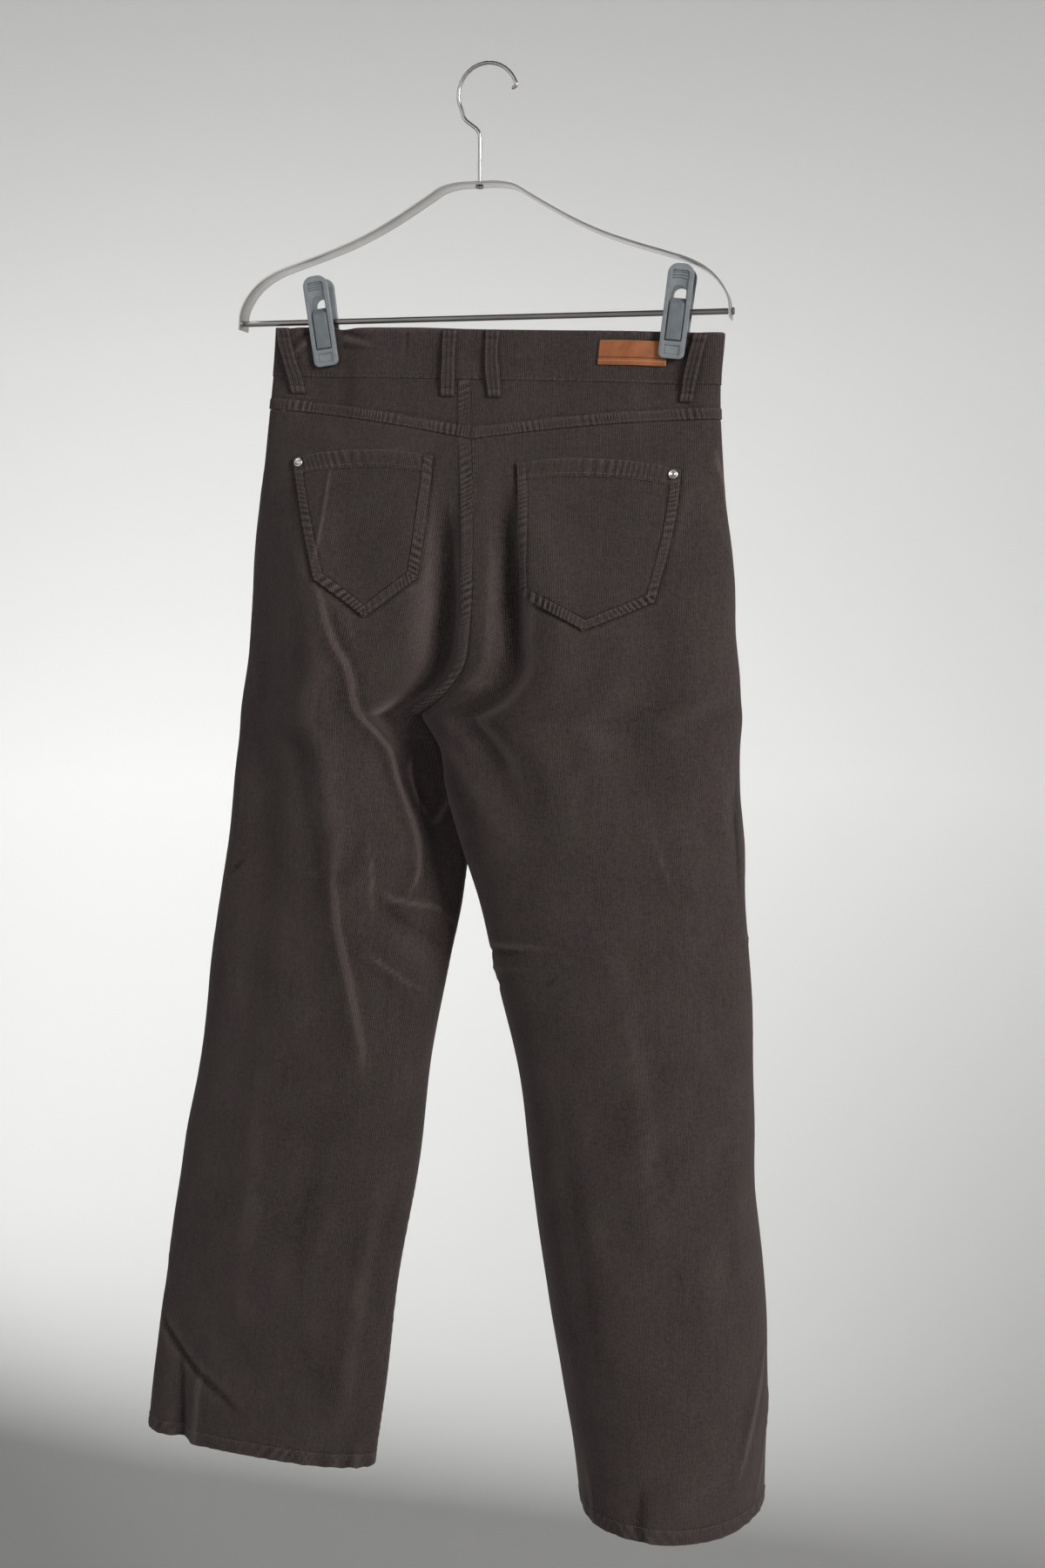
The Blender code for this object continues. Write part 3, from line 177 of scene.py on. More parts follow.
# ---------------------------------------------------------------- creases that only the looks have
# Each crease runs through its places; width is how soft it is and height how far it stands out or sinks in
CREASE_COLUMNS = "z t width height"
CREASES = {
    LEFT: [
        # bright ridge from inside the pocket down past the knee
        [(-330, 0.560, 8, 0.0), (-350, 0.560, 8, 1.6), (-400, 0.560, 8, 1.8), (-425, 0.570, 8, 0.4),
         (-440, 0.545, 7, 0.5), (-465, 0.510, 7, 2.2), (-490, 0.460, 7, 2.6), (-520, 0.375, 8, 2.4),
         (-550, 0.300, 9, 2.8), (-580, 0.238, 9, 2.8), (-615, 0.222, 8, 2.2), (-650, 0.208, 7, 2.4),
         (-690, 0.190, 7, 1.6), (-715, 0.215, 7, 0.0)],
        # ridge down the outer thigh
        [(-390, 0.660, 16, 0.0), (-455, 0.570, 17, 1.8), (-547, 0.490, 18, 2.2), (-640, 0.470, 15, 1.8),
         (-690, 0.467, 10, 1.8), (-735, 0.425, 9, 2.2), (-783, 0.350, 9, 2.2), (-850, 0.262, 10, 1.4),
         (-900, 0.235, 12, 0.0)],
        # shorter ridge beside it at the knee
        [(-655, 0.375, 6, 0.0), (-680, 0.355, 6, 0.8), (-715, 0.330, 6, 0.7), (-745, 0.305, 6, 0.0)],
        # drag lines across the inner knee
        [(-702, 0.310, 5, 0.0), (-712, 0.270, 5, 1.3), (-716, 0.210, 5, 1.2), (-722, 0.110, 7, 0.8),
         (-738, 0.020, 8, 0.6)],
        [(-714, 0.300, 10, 0.0), (-730, 0.230, 10, -1.1), (-744, 0.140, 11, -1.1), (-760, 0.040, 11, -0.6)],
        [(-758, 0.330, 6, 0.0), (-768, 0.270, 6, 1.0), (-788, 0.160, 7, 0.8), (-800, 0.080, 7, 0.0)],
        [(-650, 0.150, 6, 0.0), (-645, 0.100, 6, 1.3), (-630, 0.040, 6, 1.2), (-615, 0.000, 6, 0.6)],
        # under the pocket's foot
        [(-462, 0.440, 6, 0.0), (-478, 0.415, 6, 0.6), (-492, 0.395, 6, 0.0)],
        # sharp hollow between pocket and centre back seam
        [(-365, 0.098, 11, 0.0), (-395, 0.098, 11, -3.0), (-440, 0.098, 12, -4.8), (-480, 0.098, 13, -5.4),
         (-525, 0.100, 14, -4.4), (-570, 0.105, 14, 0.0)],
        [(-345, 0.085, 8, 0.0), (-372, 0.082, 7, 0.8), (-410, 0.078, 6, 0.7), (-430, 0.075, 6, 0.0)],
        # pull towards the crotch
        [(-430, 0.180, 14, 0.0), (-480, 0.200, 15, 0.5), (-530, 0.230, 15, 0.5), (-570, 0.200, 14, 0.0)],
        [(-585, 0.110, 6, 0.0), (-600, 0.150, 6, 1.8), (-625, 0.160, 6, 1.6), (-650, 0.130, 6, 0.0)],
        # fine lines on the outer knee
        [(-688, 0.560, 5, 0.0), (-690, 0.535, 5, 1.0), (-691, 0.505, 5, 0.0)],
        [(-700, 0.860, 6, 0.0), (-690, 0.830, 6, -1.2), (-676, 0.790, 6, 0.0)],
        [(-560, 0.930, 8, 0.0), (-590, 0.950, 8, 1.2), (-640, 0.960, 8, 1.0), (-690, 0.950, 8, 0.0)],
        # side seam, soft pulls
        [(-350, 0.960, 8, 0.0), (-400, 0.940, 9, -1.4), (-470, 0.930, 9, -1.4), (-540, 0.950, 9, 0.0)],
        # hem: a diagonal fold and an upright one
        [(-1135, 0.900, 8, 0.0), (-1150, 0.872, 7, -2.4), (-1176, 0.780, 7, -3.0), (-1205, 0.600, 8, -1.8),
         (-1228, 0.480, 8, 0.0)],
        [(-1175, 0.800, 7, 0.0), (-1195, 0.782, 7, -1.6), (-1225, 0.770, 7, -1.8), (-1262, 0.752, 8, -1.6)],
        [(-1180, 0.690, 8, 0.0), (-1205, 0.700, 9, 1.8), (-1262, 0.690, 10, 2.2)],
        [(-1060, 0.930, 8, 0.0), (-1090, 0.900, 8, 1.4), (-1130, 0.850, 8, 0.0)],
        # long soft waves down the leg
        [(-860, 0.620, 14, 0.0), (-930, 0.600, 15, 1.2), (-1040, 0.570, 16, 1.2), (-1150, 0.560, 16, 0.0)],
        [(-900, 0.380, 13, 0.0), (-980, 0.370, 14, -1.1), (-1080, 0.360, 14, -0.9), (-1160, 0.350, 14, 0.0)],
        [(-960, 0.130, 11, 0.0), (-1040, 0.130, 12, 1.2), (-1120, 0.140, 12, 1.2), (-1220, 0.150, 12, 0.6)],
        # hidden front: hip lines, knee lines and a hem fold
        [(-470, 1.880, 6, 0.0), (-476, 1.760, 6, -1.6), (-482, 1.600, 6, -1.2), (-484, 1.480, 6, 0.0)],
        [(-512, 1.900, 7, 0.0), (-524, 1.760, 7, 1.8), (-530, 1.600, 7, 1.2), (-530, 1.450, 7, 0.0)],
        [(-560, 1.800, 7, 0.0), (-585, 1.680, 7, 1.4), (-600, 1.520, 7, 0.0)],
        [(-720, 1.900, 6, 0.0), (-728, 1.760, 6, 1.6), (-730, 1.560, 6, 1.3), (-722, 1.400, 6, 0.0)],
        [(-752, 1.820, 6, 0.0), (-764, 1.640, 6, -1.5), (-766, 1.420, 6, -1.1), (-756, 1.280, 6, 0.0)],
        [(-820, 1.300, 12, 0.0), (-930, 1.320, 13, 1.3), (-1080, 1.340, 14, 1.2), (-1220, 1.350, 14, 0.6)],
        [(-1170, 1.700, 8, 0.0), (-1215, 1.690, 8, -1.8), (-1262, 1.680, 8, -2.4)],
        [(-330, 1.500, 10, 0.0), (-400, 1.440, 11, -1.4), (-460, 1.380, 11, 0.0)],
    ],
    RIGHT: [
        # bright ridge outside the centre back hollow, down over the seat
        [(-340, 0.190, 12, 0.0), (-385, 0.185, 12, 2.0), (-430, 0.195, 11, 2.2), (-480, 0.205, 10, 1.8),
         (-530, 0.235, 10, 1.8), (-580, 0.280, 12, 1.6), (-640, 0.330, 13, 0.0)],
        # hollow beside it
        [(-350, 0.125, 11, 0.0), (-400, 0.125, 11, -2.0), (-455, 0.128, 12, -2.8), (-510, 0.145, 12, -2.0),
         (-570, 0.200, 12, 0.0)],
        # pull along the crotch
        [(-505, 0.020, 11, 0.0), (-516, 0.070, 11, 1.4), (-518, 0.110, 11, 1.4), (-514, 0.180, 11, 0.0)],
        [(-530, 0.050, 12, 0.0), (-540, 0.120, 12, -1.4), (-540, 0.200, 12, -0.8), (-534, 0.280, 12, 0.0)],
        [(-560, 0.030, 11, 0.0), (-580, 0.100, 12, 1.0), (-610, 0.160, 12, 0.8), (-650, 0.200, 12, 0.0)],
        [(-590, 0.020, 11, 0.0), (-630, 0.060, 12, 1.0), (-680, 0.080, 12, 0.8), (-720, 0.070, 12, 0.0)],
        # lines of the notch at the inner knee
        [(-755, -0.020, 5, -3.4), (-757, 0.040, 5, -2.4), (-752, 0.110, 5, -0.9), (-748, 0.200, 5, 0.0)],
        [(-747, 0.040, 4.5, 0.0), (-746, 0.120, 4.5, 1.4), (-744, 0.220, 4.5, 1.3), (-744, 0.340, 4.5, 0.0)],
        [(-790, -0.020, 6, -3.0), (-786, 0.030, 6, -2.2), (-778, 0.090, 6, -0.6), (-772, 0.170, 6, 0.0)],
        [(-772, -0.020, 7, 1.8), (-771, 0.050, 8, 1.0), (-766, 0.140, 9, 0.5), (-764, 0.240, 9, 0.0)],
        [(-778, 0.230, 5, 0.0), (-774, 0.270, 5, -0.9), (-764, 0.310, 5, 0.0)],
        # side seam pulls
        [(-455, 1.020, 6, -0.6), (-470, 0.985, 6, -2.0), (-484, 0.960, 6, 0.0)],
        [(-310, 0.880, 8, 0.0), (-325, 0.885, 8, 1.6), (-342, 0.908, 8, 1.4), (-380, 0.925, 8, 0.0)],
        [(-745, 0.980, 6, 0.0), (-738, 0.935, 6, 1.4), (-730, 0.880, 6, 0.0)],
        [(-640, 0.640, 7, 0.0), (-670, 0.660, 7, 0.7), (-705, 0.690, 7, 0.0)],
        [(-580, 0.930, 9, 0.0), (-640, 0.900, 9, -1.4), (-720, 0.900, 9, 0.0)],
        # long soft waves down the leg
        [(-700, 0.480, 13, 0.0), (-800, 0.500, 15, 1.2), (-930, 0.520, 16, 1.2), (-1060, 0.530, 16, 0.0)],
        [(-820, 0.250, 13, 0.0), (-930, 0.270, 14, -1.2), (-1060, 0.290, 14, -1.0), (-1170, 0.300, 14, 0.0)],
        [(-900, 0.780, 13, 0.0), (-1000, 0.770, 14, -1.1), (-1100, 0.760, 14, 0.0)],
        # hem
        [(-1105, 0.905, 7, 0.0), (-1125, 0.870, 7, 1.8), (-1180, 0.790, 8, 1.8), (-1224, 0.725, 8, 0.0)],
        [(-1150, 0.980, 7, 0.0), (-1165, 0.930, 7, 1.5), (-1210, 0.880, 8, 1.7), (-1250, 0.830, 8, 0.5)],
        [(-1200, 0.420, 10, 0.0), (-1230, 0.400, 10, -1.2), (-1262, 0.390, 10, -1.6)],
        [(-1190, 0.180, 9, 0.0), (-1225, 0.200, 9, 1.3), (-1262, 0.210, 9, 1.5)],
        # hidden front
        [(-474, 1.880, 6, 0.0), (-480, 1.740, 6, -1.6), (-484, 1.580, 6, -1.3), (-482, 1.440, 6, 0.0)],
        [(-516, 1.900, 7, 0.0), (-528, 1.740, 7, 1.6), (-536, 1.560, 7, 1.4), (-540, 1.420, 7, 0.0)],
        [(-566, 1.820, 7, 0.0), (-590, 1.660, 7, -1.5), (-604, 1.520, 7, 0.0)],
        [(-724, 1.900, 6, 0.0), (-734, 1.740, 6, 1.6), (-738, 1.540, 6, 1.2), (-730, 1.380, 6, 0.0)],
        [(-760, 1.780, 6, 0.0), (-770, 1.600, 6, -1.4), (-768, 1.400, 6, 0.0)],
        [(-830, 1.680, 12, 0.0), (-950, 1.660, 13, 1.2), (-1100, 1.640, 14, 1.2), (-1240, 1.630, 14, 0.5)],
        [(-1160, 1.300, 8, 0.0), (-1210, 1.310, 8, 1.6), (-1262, 1.320, 9, 2.0)],
        [(-330, 1.480, 10, 0.0), (-400, 1.420, 11, -1.3), (-460, 1.360, 11, 0.0)],
    ],
}

# ---------------------------------------------------------------- seams and edges
WALE = 1.9                       # from one wale to the next
GRAIN_TOP = -300.0               # the wales run along this line, straight from here to the hem
GRAIN_LINE = {LEFT: (-100.0, -222.0), RIGHT: (105.0, 177.0)}
FELLED_YOKE = 10.0               # height of the felled band above the yoke seam
FELLED_CENTRE = 11.5             # width of the felled band beside the centre back seam
FELLED_RISE = 0.9
HEM_TURN, HEM_RISE = 14.0, 0.50  # the turned-up hem is this high and stands out this far
EDGE_ROUND = 1.1                 # a cut or folded edge rounds off within this distance
PAINTED_SHADE_REACH = 2                   # mesh steps that the pile's painted shade in pits and painted highlight on crests compare each place with
PRESSED = (0.0, 2.6, 0.7)        # middle, width and depth of the groove that a pocket presses in the panel
SIDE_GROOVE = (0.0, 1.3, 0.75)   # the same for the side seam

# Puckers along a seam or edge: how tall, how far from one to the next, the seed of their unevenness, how far
# from the seam they reach, and how much they slant as they go
EVEN = math.inf
PUCKER_COLUMNS = "height pitch seed reach slant"
PUCKERS = {
    "centre_felled": (0.60, 4.9, 0.7, EVEN, 0.50),
    "centre_plain": (0.40, 5.3, 2.9, 7.0, 0.0),
    "inseam": (0.35, 6.1, 1.1, 6.0, 0.0),
    "side_seam": (0.30, 7.3, 0.4, 9.0, 0.0),
    "hem_stitched": (0.38, 8.5, 2.3, EVEN, 0.55),
    "hem_above": (0.45, 17.0, 0.9, 34.0, 0.0),
    "hem_edge": (0.80, 12.5, 0.6, 22.0, 0.0),
    "yoke_foot": (0.55, 3.8, 1.0, EVEN, 0.20),
    "yoke_centre": (0.55, 5.2, 3.7, EVEN, 0.40),
    "yoke_side_seam": (0.25, 7.3, 0.4, 9.0, 0.0),
    "band_foot": (0.30, 5.7, 0.6, 7.0, 0.0),
    "band_top": (0.22, 9.0, 1.4, 9.0, 0.0),
    "pocket_border": (1.00, 5.0, 1.9, EVEN, 0.35),
    "pocket_top": (0.38, 6.3, 0.4, EVEN, 0.30),
    "loop": (0.16, 7.0, 0.0, EVEN, 0.0),
    "fly_edge": (0.20, 6.0, 0.2, 7.0, 0.0),
}

# ---------------------------------------------------------------- unevenness of the hanging cloth
HANG_TOP, HANG_SPAN = -262.0, 60.0      # from this height the cloth is loose, within this span
SEAM_CALM = 26.0                        # and within this distance of the inner seams it is held
WAVE_HEIGHT = 0.75
# long dents: length of each and its direction in radians
WAVES = [(97, 0.10), (71, 0.32), (83, -0.27), (53, -0.55), (61, 0.74), (140, -1.20)]
WAVE_DRIFT, WAVE_DRIFT_LONG = 9.0, 67.0
CRINKLE_SIZE, CRINKLE_WAVES, CRINKLE_HEIGHT = 12.0, 13, 0.055
GOLDEN_ANGLE, GOLDEN_SHARE = 2.399963, 0.618034
# A narrow crease falls off sharply, within CREASE_SHARP of its width, from a crest that CREST_ROUND rounds,
# and stands CREASE_TALL of its height. CREASE_SOFT gives the widths between which creases turn soft.
CREASE_SHARP, CREASE_TALL, CREST_ROUND = 0.29, 0.95, 0.5
CREASE_SOFT = 8.5, 11.5
CREASE_WRAP = 0.05               # a crease that starts this near an inner edge goes on beyond it
CREASE_HOLD = 12.0               # the torso's inner seams hold creases down within this distance

# ---------------------------------------------------------------- the waistband's sags and pulls
# where the waist edge sags: x, width and depth
WAIST_DENTS = [(-186, 16, 2.6), (-128, 13, 2.0), (-60, 40, -0.6), (20, 60, 0.4), (182, 9, 0.8)]
SIDE_ROUND, SIDE_ROUND_REACH = 4.5, 15.0
BAND_WAVE = 0.55
BAND_STITCH = (2.2, 0.8, 0.30)   # the foot's stitch line: how far up, width and depth
# a clip keeps the band level within this distance of its middle, above this height, and within this span
CLIP_HOLD, CLIP_HOLD_FOOT, CLIP_HOLD_SPAN = 13.0, -254.0, 6.0
# drag lines in the waistband: where each starts and ends along the band and in height
BAND_DRAG_COLUMNS = "side from_a from_z to_a to_z width height"
BAND_DRAGS = [
    (LEFT, 118, -221, 88, -228, 3.0, -1.6),
    (LEFT, 116, -226, 70, -240, 3.4, 1.1),
    (LEFT, 118, -234, 60, -236, 3.2, -0.8),
    (LEFT, 152, -222, 172, -240, 3.0, -1.2),
    (LEFT, 154, -232, 176, -254, 3.2, 1.0),
    (LEFT, 60, -222, 58, -250, 1.2, -0.9),
    (RIGHT, 158, -224, 134, -232, 3.0, -1.0),
    (RIGHT, 184, -222, 200, -238, 3.0, -1.0),
    (RIGHT, 40, -240, 90, -236, 4.0, 0.5),
]

# ---------------------------------------------------------------- what lies on the panels, from the source
POCKET_COLUMNS = ("name side inner wide inner_top outer_top inner_taper outer_taper "
                  "inner_corner outer_corner tip")
POCKETS = [
    ("back_pocket_left", LEFT, 34.0, 128.0, -327.0, -332.0, 15.0, 24.0, -430.0, -434.0, -464.0),
    ("back_pocket_right", RIGHT, 39.0, 139.0, -331.0, -332.0, 3.0, 22.0, -441.0, -444.0, -470.0),
]
POCKET_TOP_BOW = 6.0             # how far the middle of the top edge stands above its corners
POCKET_TIP_SHARE = 0.50
POCKET_GAP = 0.5
POCKET_BORDER, BORDER_RISE = 8.5, 0.55
BORDER_PUCKER = (0.46, 0.44)     # how tall the border's puckers are, and how much taller lower down
BORDER_LOW, BORDER_LOW_SPAN = 60.0, 40.0
BORDER_GROOVE = (POCKET_BORDER, 0.9, 0.45)
POCKET_TOP_BAND, TOP_BAND_RISE = 14.5, 0.45
TOP_BAND_GROOVE = (POCKET_TOP_BAND, 0.9, 0.25)
POCKET_WAVE, POCKET_GAPE = 0.5, 1.2
# belt loops: name, half, and the shares round the half at which their top and foot are
LOOPS = [
    ("belt_loop_1", LEFT, 0.870, 0.765),
    ("belt_loop_2", LEFT, 0.108, 0.098),
    ("belt_loop_3", RIGHT, 0.068, 0.088),
    ("belt_loop_4", RIGHT, 0.840, 0.790),
    ("belt_loop_5", LEFT, 1.42, 1.42),
    ("belt_loop_6", RIGHT, 1.42, 1.42),
]
LOOP_WIDE, LOOP_THICK, LOOP_LONG = 12.5, 1.8, 57.0
LOOP_TOP, LOOP_FOOT = -218.5, -275.0
# how far a loop stands off the band, from its top (0) to its foot (1)
LOOP_LIFT = [(0.0, 1.3), (0.10, 1.3), (0.28, 3.4), (0.68, 3.4), (0.86, 1.1), (1.0, 0.9)]
LOOP_RIDGE, LOOP_RIDGE_PITCH = 0.22, 4.1
# folds and stitch grooves across a loop: where down it, width and height
LOOP_MARKS = [(0.93, 0.05, 0.55), (0.885, 0.012, -0.6), (0.12, 0.02, -0.45), (0.06, 0.04, 0.3)]
PATCH_INNER, PATCH_OUTER = 109.0, 167.0
PATCH_TOP, PATCH_FOOT, PATCH_THICK = -225.3, -245.7, 1.4
PATCH_GAP, PATCH_CORNER = 0.7, 1.1
# a pressed and a raised line across the patch: how far down, width and height, and the same for their tint
PATCH_LINES = [(14.2, 0.42, -0.34), (16.9, 0.5, 0.26)]
PATCH_TINTS = [(14.2, 0.45, -1.1), (16.9, 0.4, 0.75)]
FLY_WIDE, FLY_FOOT, FLY_THICK = 38.0, -405.0, 1.5
FLY_RISE, FLY_CURVE = 34.0, 2.2  # how far the J-shaped foot rises across the flap, and how it curves
FLY_BEND = 46.0                  # the stitches turn over this height


# ================================================================ small mathematics
def cells(columns, row):
    """a table row as a dictionary of its named columns"""
    return dict(zip(columns.split(), row))


def smooth(value):
    """0 to 1 with level ends"""
    f = np.clip(value, 0.0, 1.0)
    return f * f * (3.0 - 2.0 * f)


def fade(z, span):
    """1 above the span of heights, 0 below it"""
    return 1.0 - smooth((span[0] - z) / (span[0] - span[1]))


def column(rows, names, name, z):
    """one named column of a table at heights z, along a smooth curve through its rows"""
    table = np.array(rows, float)
    at, value = -table[:, 0], table[:, names.split().index(name)]
    slope = np.gradient(value, at)
    depth = np.clip(-np.asarray(z, float), at[0], at[-1])
    i = np.clip(np.searchsorted(at, depth) - 1, 0, len(at) - 2)
    step = at[i + 1] - at[i]
    f = (depth - at[i]) / step
    ends = (1 + 2 * f) * (1 - f) ** 2 * value[i] + f * f * (3 - 2 * f) * value[i + 1]
    return ends + step * f * (1 - f) * ((1 - f) * slope[i] - f * slope[i + 1])


def unit(vectors):
    """vectors made 1 long"""
    return vectors / np.maximum(np.linalg.norm(vectors, axis=-1, keepdims=True), 1e-9)


def nearest_on(line, a, z, values=None):
    """distance of each place from a line of points (a, z), the run along it, and the line's values there"""
    line = np.asarray(line, float)
    values = np.zeros((len(line), 1)) if values is None else np.asarray(values, float)
    best = np.full(a.shape, 1e9)
    run_at = np.zeros(a.shape)
    found = np.zeros(a.shape + (values.shape[1],))
    start = 0.0
    for p, q, low, high in zip(line[:-1], line[1:], values[:-1], values[1:]):
        step = q - p
        long = max(float(np.hypot(*step)), 1e-6)
        f = np.clip(((a - p[0]) * step[0] + (z - p[1]) * step[1]) / long ** 2, 0.0, 1.0)
        away = np.hypot(a - p[0] - f * step[0], z - p[1] - f * step[1])
        nearer = away < best
        best = np.where(nearer, away, best)
        run_at = np.where(nearer, start + f * long, run_at)
        found = np.where(nearer[..., None], low + (high - low) * f[..., None], found)
        start += long
    return best, run_at, found


def ripples(run, pitch, seed):
    """uneven waves along a line, from -1 to 1"""
    drift = 0.72 * np.sin(run / (1.9 * pitch) + seed) + 0.45 * np.sin(run / (4.7 * pitch) + 2.1 * seed)
    tall = 0.58 + 0.42 * np.sin(run / (2.9 * pitch) + 1.7 * seed)
    return np.sin(TAU * (run / pitch + drift)) * tall


def within(away, width, soft=1.2, over=1.2):
    """1 from an edge to a width inside it, 0 further in, softly; away may be below 0 by over - soft"""
    return smooth((away + over) / soft) * smooth((width - away) / soft)


def hump(place, middle, wide, high=1.0):
    """a smooth hump round its middle, or a dip where it is less than 0 high"""
    return high * np.exp(-((place - middle) / wide) ** 2)


def puckers(kind, run, away=0.0, shift=0.0):
    """puckers of that kind at a run along their seam and a distance away from it"""
    pucker = cells(PUCKER_COLUMNS, PUCKERS[kind])
    tall = pucker["height"] * ripples(run + pucker["slant"] * away, pucker["pitch"], pucker["seed"] + shift)
    return tall * smooth(1.0 - away / pucker["reach"])


def waves(a, z, seed):
    """gentle unevenness of hanging cloth, about 1 at most: long dents in many directions, mostly upright"""
    total = np.zeros(np.broadcast(a, z).shape)
    drift = WAVE_DRIFT * np.sin(z / WAVE_DRIFT_LONG + seed)
    for long, angle in WAVES:
        turn = (a * math.cos(angle) + z * math.sin(angle) + drift) / long
        tall = 0.6 + 0.4 * np.sin(z / (0.9 * long) + seed + angle)
        total = total + np.sin(TAU * turn + seed * long) * tall
    return total / 3.0


def crinkles(a, z, seed):
    """an uneven net of small creases, from about -1 in the dents to 1 on the ridges"""
    total = np.zeros(np.broadcast(a, z).shape)
    for k in range(CRINKLE_WAVES):
        angle = GOLDEN_ANGLE * k + seed
        long = CRINKLE_SIZE * (0.7 + 1.9 * ((GOLDEN_SHARE * k + 0.37 * seed) % 1.0))
        total = total + np.sin(TAU * (a * math.cos(angle) + 0.6 * z * math.sin(angle)) / long + 4.7 * k)
    total = total / math.sqrt(0.5 * CRINKLE_WAVES)
    return 1.0 - 1.25 * np.abs(total)


# its result becomes 'rise', from which the pile's look paints shade in pits and a highlight on crests
def relief(out):
    """how far each place stands out from the places around it: the height less its twice running mean"""
    low = out
    for axis in (0, 1, 0, 1):
        reach = min(PAINTED_SHADE_REACH, (out.shape[axis] - 1) // 3)
        count = 2 * reach + 1
        lines = np.pad(np.moveaxis(low, axis, 0), [(reach, reach), (0, 0)], mode="edge")
        summed = np.cumsum(lines, axis=0)
        means = np.concatenate([summed[count - 1:count], summed[count:] - summed[:-count]]) / count
        low = np.moveaxis(means, 0, axis)
    return out - low


# ================================================================ the surface of one half
class Half:
    """the outside of one half of the trousers, without wall thickness"""

    level_step = 4.0                 # from one level to the next
    angles = 721                     # places round a level's first outline
    steps = 121                      # even places on each of its two parts, back and front
    tangent_step = 0.012             # share over which a tangent is measured
    normal_steps = 0.008, 1.5        # share and height over which a normal is

    def __init__(self, side):
        self.side = side
        self.other = None                # the half on the other side, set once both are made
        self.levels = np.arange(WAIST_TOP + 16.0, HEM - 8.1, -self.level_step)
        self.measure(*self.outlines())

    def outlines(self):
        """each level's outline, from the inner edge round the outside and back to it"""
        value = self.sizes()
        angle = np.linspace(-math.pi / 2.0, 1.5 * math.pi, self.angles)[None, :]
        power = 2.0 / value["square"]
        sine, cosine = np.sin(angle), np.cos(angle)
        across = np.abs(sine) ** power
        width = np.abs(value["outer"] - value["inner"])
        reach = value["reach"]
        from_inner = width - reach + np.where(sine > 0, reach * across, (reach - width) * across)
        round_off = np.abs(cosine) ** power
        deep = np.where(sine > 0, round_off, value["open"] + (1.0 - value["open"]) * round_off)
        x = value["inner"] + self.side * from_inner
        y = np.where(angle < math.pi / 2.0, -value["back"], value["front"]) * deep
        y += value["middle"] + (value["swing"] - value["middle"]) * from_inner / width
        return x, self.pinched(x, y), np.repeat(angle, len(x), axis=0)

    def sizes(self):
        """the tables' values at every level: what the crotch parts turns there, and the rest runs on"""
        names = LEG_COLUMNS + " open"
        outer, reach, swing = ("left", "reach_left", "swing_left")
        if self.side == RIGHT:
            outer, reach, swing = ("right", "reach_right", "swing_right")
        torso = []
        for row in TORSO:
            cell = cells(TORSO_COLUMNS, row)
            torso.append((cell["z"], cell[outer], cell["seam"], 0.0, cell["back"], cell["front"],
                          cell[swing], cell["square"], cell[reach], cell["open"]))
        leg = [row + (0.0,) for row in LEGS[self.side]]
        value = {}
        for name in names.split()[1:]:
            value[name] = column(torso + leg, names, name, self.levels)
            if name in ("inner", "middle", "open"):
                below = column(torso[-1:] + leg, names, name, self.levels)
                value[name] = np.where(self.levels >= CROTCH, column(torso, names, name, self.levels), below)
            value[name] = value[name][:, None]
        return value

    def pinched(self, x, y):
        """the clips press the two waist walls together"""
        hold = np.zeros_like(x)
        for row in CLIPS:
            hold += np.exp(-(np.abs(x - cells(CLIP_COLUMNS, row)["x"]) / PINCH_WIDE) ** 4)
        hold *= fade(self.levels, PINCH_FADE)[:, None]
        held = np.sign(y) * np.minimum(np.abs(y), PINCH_HALF)
        return y + (held - y) * np.clip(hold, 0.0, 1.0)

    def measure(self, x, y, angle):
        """even steps along each level, back and front, and where the grain's middle line crosses it"""
        run = np.hypot(np.diff(x, axis=1), np.diff(y, axis=1))
        arc = np.concatenate([np.zeros((len(x), 1)), np.cumsum(run, axis=1)], axis=1)
        self.places = np.zeros((len(x), 2 * self.steps - 1, 2))
        self.back_long = np.zeros(len(x))
        self.front_long = np.zeros(len(x))
        self.grain = np.zeros((2, len(x)))
        middle = np.interp(-self.levels, [-GRAIN_TOP, -HEM], GRAIN_LINE[self.side])
        half_way = self.angles // 2
        for i in range(len(x)):
            seam = np.interp(math.pi / 2.0, angle[i], arc[i]) + SIDE_SEAM_WRAP
            whole = arc[i, -1]
            at = np.r_[np.linspace(0, seam, self.steps), np.linspace(seam, whole, self.steps)[1:]]
            self.places[i, :, 0] = np.interp(at, arc[i], x[i])
            self.places[i, :, 1] = np.interp(at, arc[i], y[i])
            self.back_long[i] = seam
            self.front_long[i] = whole - seam
            out = x[i] * self.side
            self.grain[0, i] = np.interp(middle[i] * self.side, out[:half_way], arc[i, :half_way])
            self.grain[1, i] = np.interp(-middle[i] * self.side, -out[half_way:], arc[i, half_way:])

    def long_at(self, z, front=False):
        """length of the back or front of the level at height z"""
        long = self.front_long if front else self.back_long
        return np.interp(-z, -self.levels, long)

    def along(self, z, t):
        """distance from the back inner edge"""
        back, front = self.long_at(z), self.long_at(z, front=True)
        return np.where(t <= 1.0, t * back, back + (t - 1.0) * front)

    def around(self, z, t):
        """distance from the back inner edge, the whole way round, and distance from the nearer inner edge"""
        here = self.along(z, t)
        whole = self.long_at(z) + self.long_at(z, front=True)
        return here, whole, np.minimum(here, whole - here)

    def across_grain(self, z, t):
        """distance from the grain's middle line, towards the side seam"""
        on_front = t > 1.0
        grain = np.where(on_front, np.interp(-z, -self.levels, self.grain[1]),
                         np.interp(-z, -self.levels, self.grain[0]))
        return self.along(z, t) - grain

    def cut(self, z, t):
        """place on the flat cut piece"""
        return np.stack([self.across_grain(z, t), z], axis=-1)

